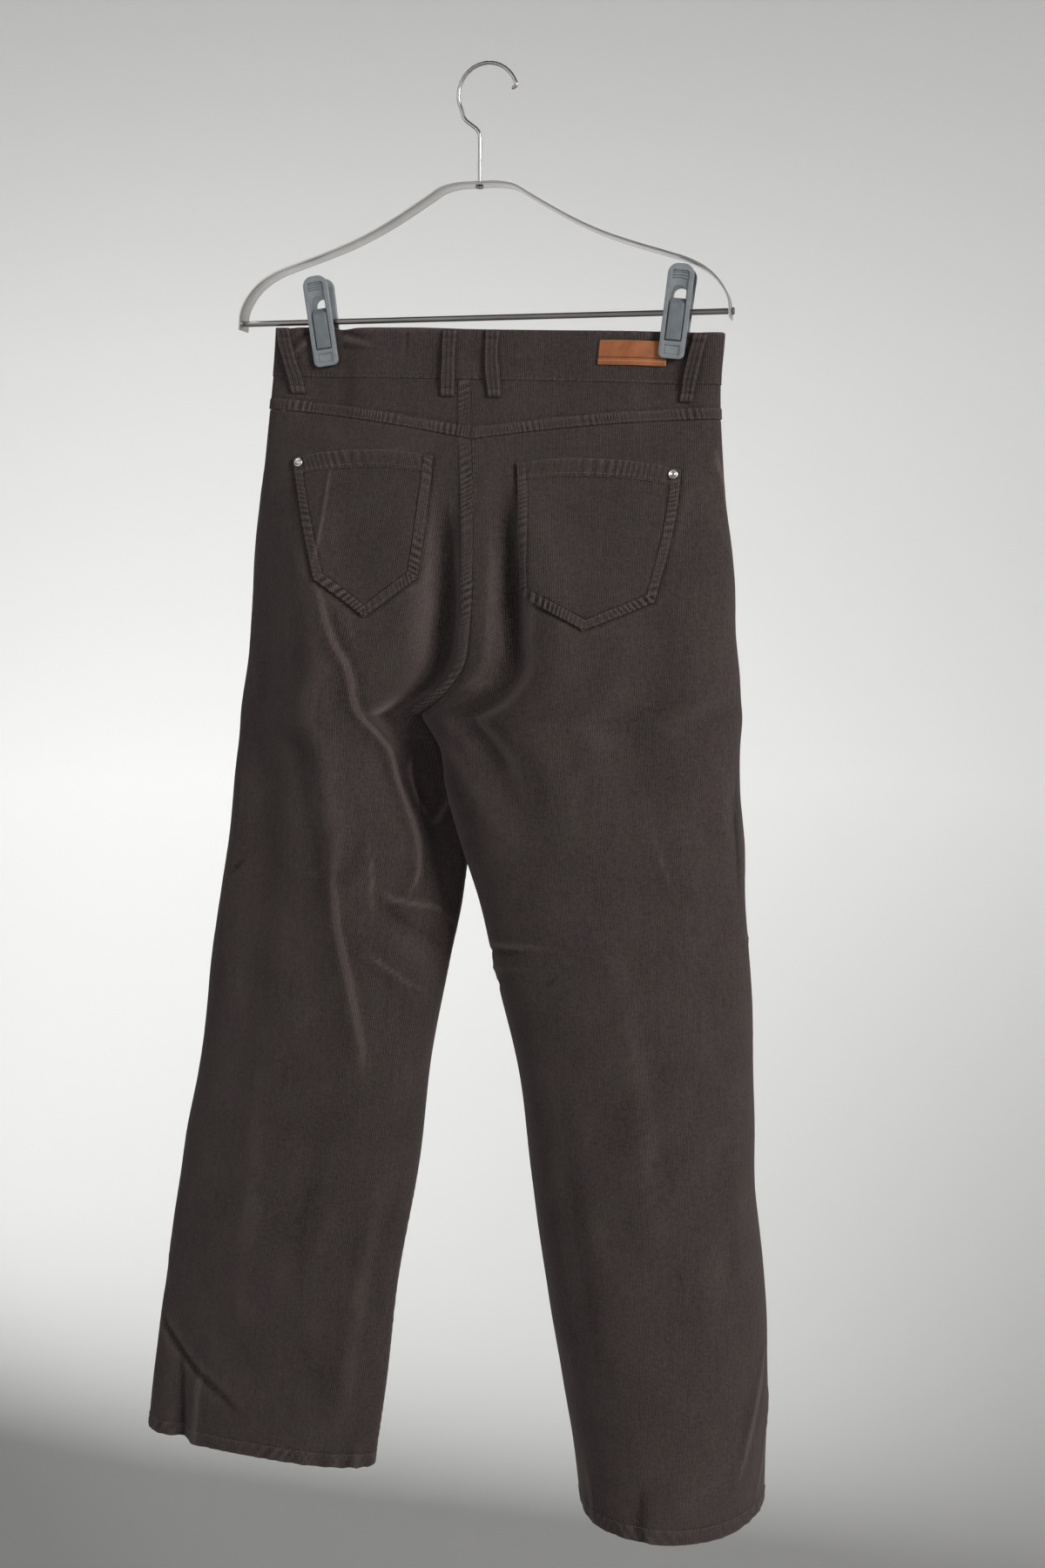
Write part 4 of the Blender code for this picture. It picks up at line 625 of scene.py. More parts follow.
    def flat(self, z, t):
        """x and y on the unfolded outline"""
        row = np.clip((self.levels[0] - z) / self.level_step, 0, len(self.levels) - 1.001)
        i = row.astype(int)
        f = (row - i)[..., None]
        col = np.clip(t, 0.0, 2.0) * (self.steps - 1)
        j = np.minimum(col.astype(int), 2 * self.steps - 3)
        g = (col - j)[..., None]
        p = self.places
        upper = p[i, j] * (1 - g) + p[i, j + 1] * g
        lower = p[i + 1, j] * (1 - g) + p[i + 1, j + 1] * g
        return upper * (1 - f) + lower * f

    def fold_height(self, z, t):
        """how far the folds stand out at each place; nothing moves at the inner seams"""
        here, _, from_seam = self.around(z, t)
        height = np.zeros_like(here)
        for rows in FOLDS[self.side]:
            middle = self.along(z, column(rows, FOLD_COLUMNS, "t", z))
            width = column(rows, FOLD_COLUMNS, "width", z)
            tall = column(rows, FOLD_COLUMNS, "height", z)
            near = np.clip(np.abs(here - middle) / width, 0.0, 1.0)
            height += tall * 0.5 * (1.0 + np.cos(math.pi * near))
        return height * smooth(from_seam / SEAM_HOLD)

    def folded(self, z, t):
        """the surface itself"""
        z, t = np.broadcast_arrays(np.asarray(z, float), np.asarray(t, float))
        step = self.tangent_step
        ahead = self.flat(z, np.minimum(t + step, 2.0))
        behind = self.flat(z, np.maximum(t - step, 0.0))
        tangent = unit(ahead - behind)
        outward = np.stack([tangent[..., 1], -tangent[..., 0]], -1) * self.side
        place = self.flat(z, t) + outward * self.fold_height(z, t)[..., None]
        down = z + WAIST_SLOPE * place[..., 0] * fade(z, SLOPE_FADE)
        return np.concatenate([place, down[..., None]], axis=-1)

    def own_normal(self, z, t):
        """outward direction of this half alone"""
        step_t, step_z = self.normal_steps
        across = self.folded(z, np.minimum(t + step_t, 2.0)) - self.folded(z, np.maximum(t - step_t, 0.0))
        down = self.folded(z - step_z, t) - self.folded(z + step_z, t)
        return unit(np.cross(down, across) * self.side)

    def normal(self, z, t):
        """outward direction, shared with the neighbour along the inner seams"""
        z, t = np.broadcast_arrays(np.asarray(z, float), np.asarray(t, float))
        own = self.own_normal(z, t)
        here, whole, from_seam = self.around(z, t)
        at_front = here > whole / 2.0
        torso = z > CROTCH + 0.01
        edge = np.where(at_front, 2.0, 0.0)
        across = np.where(torso[..., None], self.other.own_normal(z, edge), self.own_normal(z, 2.0 - edge))
        share = 0.5 * (1.0 - smooth(from_seam / NORMAL_BLEND))[..., None]
        return unit(own * (1.0 - share) + across * share)

    def point(self, z, t, out=0.0):
        """a point of the surface moved out, in millimetres"""
        return self.folded(z, t) + self.normal(z, t) * np.asarray(out, float)[..., None]


def make_halves():
    """both halves, each knowing the other"""
    left, right = Half(LEFT), Half(RIGHT)
    left.other, right.other = right, left
    return {LEFT: left, RIGHT: right}


# ================================================================ how far each cloth surface stands out
def yoke_line(t):
    """height of the yoke seam: a V, deepest at the centre back"""
    return YOKE_SIDE + (YOKE_CENTRE - YOKE_SIDE) * (1.0 - t) ** YOKE_CURVE


def waist_line(t):
    """height of the waist edge, lower in the middle of the front"""
    return WAIST_TOP - FRONT_DIP * smooth((t - DIP_START) / DIP_SPAN)


def waist_dents(half, t):
    """how far the cloth's top edge sags beside a clip and is rounded off at the side fold"""
    x = half.flat(np.full(np.shape(t), WAIST_TOP), t)[..., 0]
    from_side = half.long_at(WAIST_TOP) * np.abs(1.0 - t)
    rounded = SIDE_ROUND * (1.0 - smooth(from_side / SIDE_ROUND_REACH)) ** 2
    return sum(hump(x, *row) for row in WAIST_DENTS) + rounded


def crease_height(half, z, t):
    """the sum of the creases: each falls off to both sides of its line"""
    here, whole, from_seam = half.around(z, t)
    total = np.zeros(here.shape)
    for rows in CREASES[half.side]:
        crease = cells(CREASE_COLUMNS, np.array(rows, float).T)
        line = np.stack([half.along(crease["z"], crease["t"]), crease["z"]], axis=1)
        sizes = np.stack([crease["width"], crease["height"]], axis=1)
        wraps = crease["t"].min() < CREASE_WRAP or crease["t"].max() > 2.0 - CREASE_WRAP
        for turn in (0.0, 1.0, -1.0) if wraps else (0.0,):
            away, _, found = nearest_on(line, here - turn * whole, z, sizes)
            wide, high = found[..., 0], found[..., 1]
            from_crest = np.sqrt(away ** 2 + CREST_ROUND ** 2) - CREST_ROUND
            sharp = CREASE_TALL * np.exp(-from_crest / (CREASE_SHARP * wide))
            soft = hump(away, 0.0, wide)
            softness = smooth((wide - CREASE_SOFT[0]) / (CREASE_SOFT[1] - CREASE_SOFT[0]))
            total += high * (sharp + (soft - sharp) * softness)
    return total * np.where(z > CROTCH - 6.0, smooth(from_seam / CREASE_HOLD), 1.0)


def loose(half, z, t):
    """creases and the cloth's slight unevenness, which fades out at the waist and the torso's inner seams"""
    here, _, from_seam = half.around(z, t)
    hangs = smooth((HANG_TOP - z) / HANG_SPAN) * smooth(from_seam / SEAM_CALM)
    patchy = 0.4 + 0.6 * smooth(0.5 + 0.6 * waves(here, z, 4.0))
    small = CRINKLE_HEIGHT * crinkles(here, z, 0.8 + half.side) * patchy
    large = WAVE_HEIGHT * waves(here, z, 1.3 * half.side + 2.0)
    return crease_height(half, z, t) + (large + small) * hangs


def edge_drop(distance, thick=CLOTH):
    """how far the outside sinks towards a rounded edge"""
    return -0.5 * thick * (1.0 - smooth(distance / EDGE_ROUND)) ** 2


def side_seam(half, z, here, kind):
    """the side seam's groove, with puckers of that kind beside it"""
    from_side = np.abs(here - half.long_at(z))
    return puckers(kind, z, from_side) - hump(from_side, *SIDE_GROOVE)


def panel_lift(half, z, t):
    """a leg panel: loose cloth, the felled centre back seam, seam puckers and the turned-up hem"""
    here, _, from_seam = half.around(z, t)
    out = loose(half, z, t)
    torso = smooth((z - CROTCH + 4.0) / 14.0)
    torso_back = np.where(t <= 1.0, torso, 0.0)
    if half.side == LEFT:
        out += torso_back * within(here, FELLED_CENTRE) * (FELLED_RISE + puckers("centre_felled", z, here))
    else:
        out += torso_back * puckers("centre_plain", z, here)
    out += (1.0 - torso) * puckers("inseam", z, from_seam)
    out += side_seam(half, z, here, "side_seam")
    hem = z - HEM
    out += within(hem, HEM_TURN, 1.0, 1.3) * (HEM_RISE + puckers("hem_stitched", here, hem))
    out += puckers("hem_above", here, hem)
    return out + edge_drop(hem)


def back_lift(half, z, t):
    """a back panel starts level, under the yoke's turned edge, and its pocket presses a groove in it"""
    out = panel_lift(half, z, t) - 0.35 * smooth(1.0 - (yoke_line(t) - z) / 2.2)
    pocket = [cells(POCKET_COLUMNS, row) for row in POCKETS if row[1] == half.side][0]
    line = pocket_outline(pocket)
    away = nearest_on(np.concatenate([line, line[:1]]), half.along(z, t), z)[0]
    return out - hump(away, *PRESSED)


def yoke_lift(half, z, t):
    """the yoke: loose cloth, the felled yoke seam and the top of the felled centre back seam"""
    here = half.along(z, t)
    above = z - yoke_line(t)
    out = loose(half, z, t)
    band = within(above, FELLED_YOKE)
    out += band * (0.9 * FELLED_RISE + puckers("yoke_foot", here, above, half.side))
    if half.side == LEFT:
        centre = within(here, FELLED_CENTRE) * (1.0 - 0.7 * band)
        out += centre * (FELLED_RISE + puckers("yoke_centre", z, here))
    return out + side_seam(half, z, here, "yoke_side_seam") + edge_drop(above)


def band_lift(half, z, t):
    """the waistband: a folded top edge, a stitched foot with puckers, and drag lines beside the clips"""
    here = half.along(z, t)
    top = waist_line(t) - z
    foot = z - BAND_FOOT
    out = puckers("band_foot", here, foot, half.side) + puckers("band_top", here, top)
    out += BAND_WAVE * waves(here, 2.2 * z, 0.7)
    for row in BAND_DRAGS:
        drag = cells(BAND_DRAG_COLUMNS, row)
        if drag["side"] == half.side:
            line = [(drag["from_a"], drag["from_z"]), (drag["to_a"], drag["to_z"])]
            away, _, found = nearest_on(line, here, z, [(drag["height"],), (0.0,)])
            out += hump(away, 0.0, drag["width"], found[..., 0])
    x = half.flat(z, t)[..., 0]
    above_foot = smooth((z - CLIP_HOLD_FOOT) / CLIP_HOLD_SPAN)
    for row in CLIPS:
        out *= 1.0 - np.exp(-(np.abs(x - cells(CLIP_COLUMNS, row)["x"]) / CLIP_HOLD) ** 4) * above_foot
    out -= hump(foot, *BAND_STITCH)
    return BAND_OUT + out + edge_drop(top, BAND_OUT + BAND_IN) + edge_drop(foot, 1.0)


# ================================================================ meshes
def steps(*runs):
    """places along a length from runs of (start, end, about how far apart)"""
    places = [np.array([runs[0][0]], float)]
    for start, end, step in runs:
        count = max(int(math.ceil(abs(end - start) / step)), 1)
        places.append(np.linspace(start, end, count + 1)[1:])
    return np.concatenate(places)


def linked(name, data):
    """an object with that data, in the scene"""
    made = bpy.data.objects.new(name, data)
    bpy.context.scene.collection.objects.link(made)
    return made


def shade(mesh, smooth_angle):
    """smooth but for edges sharper than an angle in degrees"""
    mesh.shade_smooth()
    mesh.set_sharp_from_angle(angle=math.radians(smooth_angle))


def mesh_object(name, points, faces, look, smooth_angle=50.0):
    """points in millimetres and faces as an object that is smooth but for its sharp edges"""
    mesh = bpy.data.meshes.new(name)
    mesh.from_pydata((np.asarray(points, float) * MM).tolist(), [], [list(map(int, f)) for f in faces])
    mesh.materials.append(look)
    shade(mesh, smooth_angle)
    return linked(name, mesh)


def ring_faces(rings, sides, first=0, flip=False):
    """faces between rings of points that lie one after another; flip turns them round"""
    faces = []
    for i in range(rings - 1):
        a, b = first + i * sides, first + (i + 1) * sides
        for j in range(sides):
            k = (j + 1) % sides
            faces.append((a + j, b + j, b + k, a + k) if flip else (a + j, a + k, b + k, b + j))
    return faces


def ring_points(radius, height, angle):
    """a level ring of points"""
    return [(radius * math.cos(a), radius * math.sin(a), height) for a in angle]


def cloth_wall(name, outer, inner, cut, rise, look):
    """closed cloth wall between two grids of points; cut is each point's place on the flat cut piece, which
    the wales follow, and rise is how far it stands out, from which the pile's look paints shade in pits and a
    highlight on crests"""
    rows, cols = outer.shape[:2]
    count = rows * cols
    index = np.arange(count).reshape(rows, cols)
    corners = [index[:-1, :-1], index[:-1, 1:], index[1:, 1:], index[1:, :-1]]
    skin = np.stack(corners, axis=-1).reshape(-1, 4)
    rim = np.r_[index[0, :], index[1:, -1], index[-1, -2::-1], index[-2:0:-1, 0]]
    ahead = np.roll(rim, -1)
    edge = np.stack([ahead, rim, rim + count, ahead + count], axis=-1)
    faces = np.concatenate([skin, skin[:, ::-1] + count, edge])
    facing = np.cross(outer[:-1, 1:] - outer[:-1, :-1], outer[1:, :-1] - outer[:-1, :-1])
    if np.sum(facing * (outer - inner)[:-1, :-1]) < 0:
        faces = faces[:, ::-1]
    points = np.concatenate([outer.reshape(-1, 3), inner.reshape(-1, 3)])
    made = mesh_object(name, points, faces, look)
    flat = np.concatenate([cut.reshape(-1, 2)] * 2) * MM
    layer = made.data.uv_layers.new(name="cut", do_init=False)
    layer.uv.foreach_set("vector", flat[faces.ravel()].astype(np.float32).ravel())
    tint = made.data.attributes.new("rise", "FLOAT", "POINT")
    tint.data.foreach_set("value", np.r_[rise.ravel(), np.zeros(count)].astype(np.float32))
    return made


def finish_piece(made, slot, *nodes):
    """the piece moves with the one body and stands for its CAD nodes, which it hides; slot is not used"""
    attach(made, "root")
    if nodes:
        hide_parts(*nodes)
    return made


def corduroy_piece(name, grids, looks, node):
    """a wall of corduroy that stands for a CAD node"""
    return finish_piece(cloth_wall(name, *grids, looks["corduroy"]), "corduroy", node)


def trimmed(half, z, t, low, high):
    """shares kept half a seam gap inside the piece's two upright edges"""
    trim = 0.5 * SEAM_GAP / half.long_at(z, low >= 1.0)
    return np.clip(t, low + trim, high - trim)


def piece_grids(half, z, t, lift, thick):
    """outer and inner points, places on the cut and how far the outside stands out"""
    out = lift(half, z, t)
    base = loose(half, z, t) if thick < BAND_IN else np.full(z.shape, BAND_OUT)
    return half.point(z, t, out), half.point(z, t, base - thick), half.cut(z, t), relief(out)


# ================================================================ leg panels, yokes and waistband
def leg_rows(top, torso_step, leg_step):
    """heights down a leg panel from its middle top: close together where seams pucker and at the hem"""
    return steps((top, top - 3.0, 0.8), (top - 3.0, CROTCH - 4.0, torso_step),
                 (CROTCH - 4.0, HEM + 17.0, leg_step), (HEM + 17.0, HEM + 1.5, 1.5), (HEM + 1.5, HEM, 0.5))


def rows_from_line(rows, line):
    """heights[i, j]: the first row follows the line, and rows lower down are straight"""
    ease = 1.0 - smooth((rows[0] - rows) / 140.0)
    return rows[:, None] + (line - rows[0])[None, :] * ease[:, None]


def hem_waver(half, z, t):
    """the hem's edge is slightly wavy"""
    return puckers("hem_edge", half.along(z, t), z - HEM)


def make_leg_panels(halves, looks):
    """back and front panel of each half, finely divided near its edges"""
    foot = BAND_FOOT - 0.5 * SEAM_GAP
    runs = (0, 1.2, 0.4), (1.2, 14, 1.25), (14, 221, 2.8), (221, 228.8, 1.3), (228.8, 230, 0.4)
    back = steps(*runs) / 230.0
    front = 1.0 + steps((0, 1.2, 0.4), (1.2, 10, 1.6), (10, 218, 3.1), (218, 220, 0.7)) / 220.0
    kinds = [
        ("back", 0.0, back, leg_rows(-300.0, 1.4, 3.2), yoke_line(back) - 0.5 * SEAM_GAP, back_lift),
        ("front", 1.0, front, leg_rows(foot, 2.6, 3.6), np.full(front.shape, foot), panel_lift),
    ]
    for side, label in SIDES:
        half = halves[side]
        for kind, low, across, rows, line, lift in kinds:
            z = rows_from_line(rows, line)
            t = trimmed(half, z, np.broadcast_to(across, z.shape), low, low + 1.0)
            z = z + hem_waver(half, z, t)
            corduroy_piece("_".join((kind, "panel", label)), piece_grids(half, z, t, lift, CLOTH), looks,
                           "_".join((kind, label)))


def make_yokes(halves, looks):
    """the yoke above each back panel"""
    across = steps((0, 1.2, 0.4), (1.2, 202, 1.15), (202, 203.2, 0.4)) / 203.2
    share = steps((0, 38.5, 1.5), (38.5, 40, 0.4)) / 40.0
    foot = yoke_line(across) + 0.5 * SEAM_GAP
    top = BAND_FOOT - 0.5 * SEAM_GAP
    z = top + (foot - top)[None, :] * share[:, None]
    for side, label in SIDES:
        t = trimmed(halves[side], z, np.broadcast_to(across, z.shape), 0.0, 1.0)
        corduroy_piece("yoke_panel_" + label, piece_grids(halves[side], z, t, yoke_lift, CLOTH), looks,
                       "yoke_" + label)


def make_waistband(halves, looks):
    """one piece round the back, from side seam to side seam, and two in front"""
    thick = BAND_OUT + BAND_IN
    share = steps((0, 1.2, 0.4), (1.2, 41, 1.6), (41, 43, 0.5)) / 43.0
    foot = BAND_FOOT + 0.5 * SEAM_GAP

    def band_heights(half, lines):
        """heights down lines at those shares"""
        top = (waist_line(lines) - waist_dents(half, lines))[None, :]
        return top + (foot - top) * share[:, None]

    grids = {}
    for side, label in SIDES:
        half = halves[side]
        lines = steps((0, 194, 1.45), (194, 196, 0.6)) / 196.0
        lines[-1] -= 0.5 * SEAM_GAP / half.long_at(WAIST_TOP)
        z = band_heights(half, lines)
        grids[side] = piece_grids(half, z, np.broadcast_to(lines, z.shape), band_lift, thick)
        lines = 1.0 + steps((0, 2, 0.6), (2, 184, 1.9), (184, 186, 0.6)) / 186.0
        z = band_heights(half, lines)
        t = trimmed(half, z, np.broadcast_to(lines, z.shape), 1.0, 2.0)
        corduroy_piece("waistband_panel_front_" + label, piece_grids(half, z, t, band_lift, thick), looks,
                       "waistband_front_" + label)
    back = [np.concatenate([left[:, ::-1], right[:, 1:]], axis=1)
            for left, right in zip(grids[LEFT], grids[RIGHT])]
    corduroy_piece("waistband_panel_back", back, looks, "waistband_back")


# ================================================================ pockets
def pocket_top(u, pocket):
    """height of the pocket's top edge at the share u across"""
    straight = pocket["inner_top"] + (pocket["outer_top"] - pocket["inner_top"]) * u
    return straight + POCKET_TOP_BOW * 4 * u * (1 - u)


def pocket_place(u, v, pocket):
    """u across from the inner edge, v down: distance along the panel and height"""
    left = pocket["inner"] + pocket["inner_taper"] * v
    right = pocket["inner"] + pocket["wide"] - pocket["outer_taper"] * v ** 1.3
    along = left + (right - left) * u
    top = pocket_top(u, pocket)
    corner = np.where(u < POCKET_TIP_SHARE, pocket["inner_corner"], pocket["outer_corner"])
    from_tip = np.where(u < POCKET_TIP_SHARE, u / POCKET_TIP_SHARE, (1 - u) / (1 - POCKET_TIP_SHARE))
    foot = corner + (pocket["tip"] - corner) * from_tip
    return along, top + (foot - top) * v


def pocket_outline(pocket):
    """the pocket's edge (a, z) from its inner top corner down, round the tip and up to the outer corner"""
    down = np.linspace(0.0, 1.0, 26)
    sides = [pocket_place(np.zeros(26), down, pocket), pocket_place(down, np.ones(26), pocket),
             pocket_place(np.ones(26), down[::-1], pocket)]
    return np.concatenate([np.stack(side, axis=1)[(k > 0):] for k, side in enumerate(sides)])


def pocket_lift(half, z, t, pocket):
    """cloth over the panel: a hemmed top and a double-stitched, puckered border round the other edges"""
    here = half.along(z, t)
    away, run, _ = nearest_on(pocket_outline(pocket), here, z)
    from_top = pocket_top(np.clip((here - pocket["inner"]) / pocket["wide"], 0.0, 1.0), pocket) - z
    border = within(away, POCKET_BORDER, 1.0)
    low = smooth((pocket["inner_top"] - BORDER_LOW - z) / BORDER_LOW_SPAN)
    tall = BORDER_PUCKER[0] + BORDER_PUCKER[1] * low
    out = POCKET_GAP + CLOTH + border * (BORDER_RISE + tall * puckers("pocket_border", run, away, half.side))
    out -= hump(away, *BORDER_GROOVE)
    hemmed = within(from_top, POCKET_TOP_BAND, 1.0) * (1.0 - 0.5 * border)
    out += hemmed * (TOP_BAND_RISE + puckers("pocket_top", here, from_top))
    out -= hump(from_top, *TOP_BAND_GROOVE)
    out += POCKET_WAVE * waves(1.4 * here, 1.6 * z, 3.1 * half.side) * smooth(away / 22.0)
    out += POCKET_GAPE * smooth(1.0 - from_top / 16.0) * smooth(away / 30.0)
    return loose(half, z, t) + out + edge_drop(away) + edge_drop(from_top)


def make_pockets(halves, looks):
    """the patch pockets"""
    across = steps((0, 1.2, 0.4), (1.2, 130.8, 1.3), (130.8, 132, 0.4)) / 132.0
    down = steps((0, 1.2, 0.4), (1.2, 133.8, 1.3), (133.8, 135, 0.4)) / 135.0
    u, v = np.meshgrid(across, down)
    for row in POCKETS:
        pocket = cells(POCKET_COLUMNS, row)
        half = halves[pocket["side"]]
        along, z = pocket_place(u, v, pocket)
        t = along / half.long_at(z)
        out = pocket_lift(half, z, t, pocket)
        inner = half.point(z, t, loose(half, z, t) + POCKET_GAP)
        grids = half.point(z, t, out), inner, half.cut(z, t), relief(out)
        corduroy_piece(pocket["name"].replace("back_pocket", "pocket_cloth"), grids, looks, pocket["name"])


# ================================================================ belt loops, fly, patch
def loop_place(half, t_top, t_foot, down, across):
    """height and share of a place on a loop, down it from 0 to 1 and across it in millimetres"""
    drop = waist_line(t_top) - WAIST_TOP
    z = LOOP_TOP + drop + (LOOP_FOOT - LOOP_TOP) * down
    middle = t_top + (t_foot - t_top) * down
    return z, middle + across / half.long_at(z, t_top > 1.0)


def loop_lean(down, across, k):
    """the loops lie slightly askew and unevenly wide"""
    return across * (1.0 + 0.05 * np.sin(down * 9.0 + k)) + 0.5 * np.sin(down * 5.0 + 1.7 * k)


def loop_lift(down, across, seed):
    """how far a folded strip stands off the band, and its thickness with ridges, folds and rounded edges"""
    rise = np.interp(down, *np.array(LOOP_LIFT).T)
    from_edge = 0.5 * LOOP_WIDE - np.abs(across)
    thick = LOOP_THICK + LOOP_RIDGE * np.cos(TAU * across / LOOP_RIDGE_PITCH)
    thick += puckers("loop", down * LOOP_LONG, shift=seed)
    thick += sum(hump(down, *mark) for mark in LOOP_MARKS)
    thick -= 0.8 * (1.0 - smooth(from_edge / 1.2)) ** 2 + 0.5 * (1.0 - smooth(down / 0.03))
    thick -= 0.5 * (1.0 - smooth((1.0 - down) / 0.025))
    return rise, thick


def make_belt_loops(halves, looks):
    """six folded strips over the waistband"""
    edge = 0.5 * LOOP_WIDE
    down = steps((0, LOOP_LONG, 1.0)) / LOOP_LONG
    across = steps((-edge, -edge + 1.0, 0.5), (-edge + 1.0, edge - 1.0, 0.7), (edge - 1.0, edge, 0.5))
    across, down = np.meshgrid(across, down)
    for k, (name, side, t_top, t_foot) in enumerate(LOOPS):
        half = halves[side]
        z, t = loop_place(half, t_top, t_foot, down, loop_lean(down, across, k))
        rise, thick = loop_lift(down, across, k)
        cut = np.stack([across, z], axis=-1)
        grids = half.point(z, t, rise + thick), half.point(z, t, rise), cut, relief(thick)
        corduroy_piece(name.replace("belt_loop", "loop_strip"), grids, looks, name)


def fly_lift(half, z, t):
    """the fly flap lies on the front panel"""
    return loose(half, z, t) + POCKET_GAP + FLY_THICK


def make_fly(halves, looks):
    """the lapped flap over the zip: straight edge at the centre front, J-shaped foot"""
    half = halves[LEFT]
    u, v = np.meshgrid(steps((0, 38, 1.5)) / 38.0, steps((0, 144, 2.0)) / 144.0)
    top = BAND_FOOT - 1.0
    foot = FLY_FOOT + FLY_RISE * u ** FLY_CURVE
    z = top + (foot - top) * v
    from_centre = FLY_WIDE * u
    t = 2.0 - (from_centre + 1.0) / half.long_at(z, front=True)
    from_edge = np.minimum(np.minimum(from_centre, FLY_WIDE - from_centre), np.minimum(z - foot, top - z))
    out = fly_lift(half, z, t) + edge_drop(from_edge) + puckers("fly_edge", z, from_centre)
    inner = half.point(z, t, loose(half, z, t) + POCKET_GAP)
    grids = half.point(z, t, out), inner, half.cut(z, t), relief(out)
    corduroy_piece("fly_cloth", grids, looks, "fly_flap")


def make_leather_patch(halves, looks):
    """a bare patch of leather: thick rounded edges, a pressed line and a raised line near its foot"""
    half = halves[RIGHT]
    wide, tall = PATCH_OUTER - PATCH_INNER, PATCH_TOP - PATCH_FOOT
    u, v = np.meshgrid(steps((0, 1.5, 0.3), (1.5, wide - 1.5, 1.1), (wide - 1.5, wide, 0.3)),
                       steps((0, 1.5, 0.3), (1.5, 12.5, 1.0), (12.5, tall, 0.3)))
    du = np.minimum(np.minimum(u, wide - u), PATCH_CORNER)
    dv = np.minimum(np.minimum(v, tall - v), PATCH_CORNER)
    from_corner = PATCH_CORNER - np.hypot(PATCH_CORNER - du, PATCH_CORNER - dv)
    in_corner = (du < PATCH_CORNER) & (dv < PATCH_CORNER)
    from_edge = np.where(in_corner, from_corner, np.minimum(du, dv))
    squeeze = 0.35 * (1.0 - du / PATCH_CORNER) * (1.0 - dv / PATCH_CORNER)
    a = PATCH_INNER + u + squeeze * np.sign(wide / 2 - u)
    z = PATCH_TOP - v - squeeze * np.sign(tall / 2 - v)
    t = a / half.long_at(z)
    base = BAND_OUT + PATCH_GAP
    bow = 0.25 * np.sin(math.pi * u / wide) + 0.12 * waves(3.0 * u, 5.0 * v, 0.5)
    out = base + PATCH_THICK + bow - 0.75 * (1.0 - smooth(from_edge / 0.9)) ** 2
    out += sum(hump(v, *line) for line in PATCH_LINES)
    worn = np.maximum(1.0 - from_edge / 0.7, 0.0) + sum(hump(v, *tint) for tint in PATCH_TINTS)
    outer, inner = half.point(z, t, out), half.point(z, t, np.full(z.shape, base))
    made = cloth_wall("patch_leather", outer, inner, np.stack([u, -v], axis=-1), worn, looks["leather"])
    finish_piece(made, "leather", "leather_patch")


# ================================================================ rivets and the button
# radius and height of each face in shares of its size, from its middle out and down to the cloth
RIVET_PROFILE = [(0.0, 0.62), (0.10, 0.62), (0.17, 0.60), (0.24, 0.86), (0.32, 0.92), (0.39, 0.70),
                 (0.48, 0.64), (0.60, 0.78), (0.72, 0.95), (0.82, 0.98), (0.91, 0.84), (0.97, 0.55),
                 (1.0, 0.2), (0.98, 0.0), (0.0, 0.0)]
RIVET_RADIUS, RIVET_HIGH = 4.2, 1.5
# a rivet's middle on the pocket, and the places round it that it has to clear, as shares across and down
RIVET_SPOTS = [(0.955, 0.048), (0.925, 0.048), (0.985, 0.048), (0.955, 0.02), (0.955, 0.078)]
BUTTON_PROFILE = [(0.0, 0.62), (0.30, 0.62), (0.52, 0.66), (0.62, 0.80), (0.70, 0.96), (0.80, 1.0),
                  (0.90, 0.95), (0.97, 0.82), (1.0, 0.62), (0.99, 0.42), (0.92, 0.2), (0.8, 0.0), (0.0, 0.0)]
BUTTON_RADIUS, BUTTON_HIGH, BUTTON_INSET = 8.5, 3.2, 14.0
BUTTON_HOLES = 1.9               # from the middle to each hole, across and up


def turned(name, profile, count, look):
    """a profile of (radius, height), from the top down, turned about Z; its ends are on the axis"""
    middle = profile[1:-1]
    angle = np.linspace(0.0, TAU, count, endpoint=False)
    points = [(0.0, 0.0, profile[0][1])]
    for radius, height in middle:
        points += ring_points(radius, height, angle)
    points.append((0.0, 0.0, profile[-1][1]))
    last = len(points) - 1
    faces = ring_faces(len(middle), count, 1, flip=True)
    for j in range(count):
        k = (j + 1) % count
        faces.append((0, 1 + j, 1 + k))
        faces.append((last, last - count + k, last - count + j))
    return mesh_object(name, points, faces, look, 40.0)


def stand_on(made, place, normal):
    """put an object's origin at place, its Z along the normal"""
    turn = Vector(normal).to_track_quat("Z", "Y").to_matrix().to_4x4()
    made.matrix_world = Matrix.Translation(Vector(place) * MM) @ turn
    return made


def make_rivets(halves, looks):
    """at the outer top corner of each pocket"""
    for row in POCKETS:
        pocket = cells(POCKET_COLUMNS, row)
        side, half = pocket["side"], halves[pocket["side"]]
        u, v = np.array(RIVET_SPOTS).T[:, None]
        along, z = pocket_place(u, v, pocket)
        t = along / half.long_at(z)
        spots = half.point(z, t, pocket_lift(half, z, t, pocket))[0]
        normal = unit(half.normal(z, t)[0].mean(axis=0))
        lift = max(float(np.dot(p - spots[0], normal)) for p in spots)
        profile = [(r * RIVET_RADIUS, h * RIVET_HIGH) for r, h in RIVET_PROFILE]
        label = dict(SIDES)[side]
        made = turned("rivet_cap_" + label, profile, 40, looks["rivet"])
        stand_on(made, spots[0] + normal * (lift - 0.1), normal)
        finish_piece(made, "rivet_metal", "rivet_" + label)


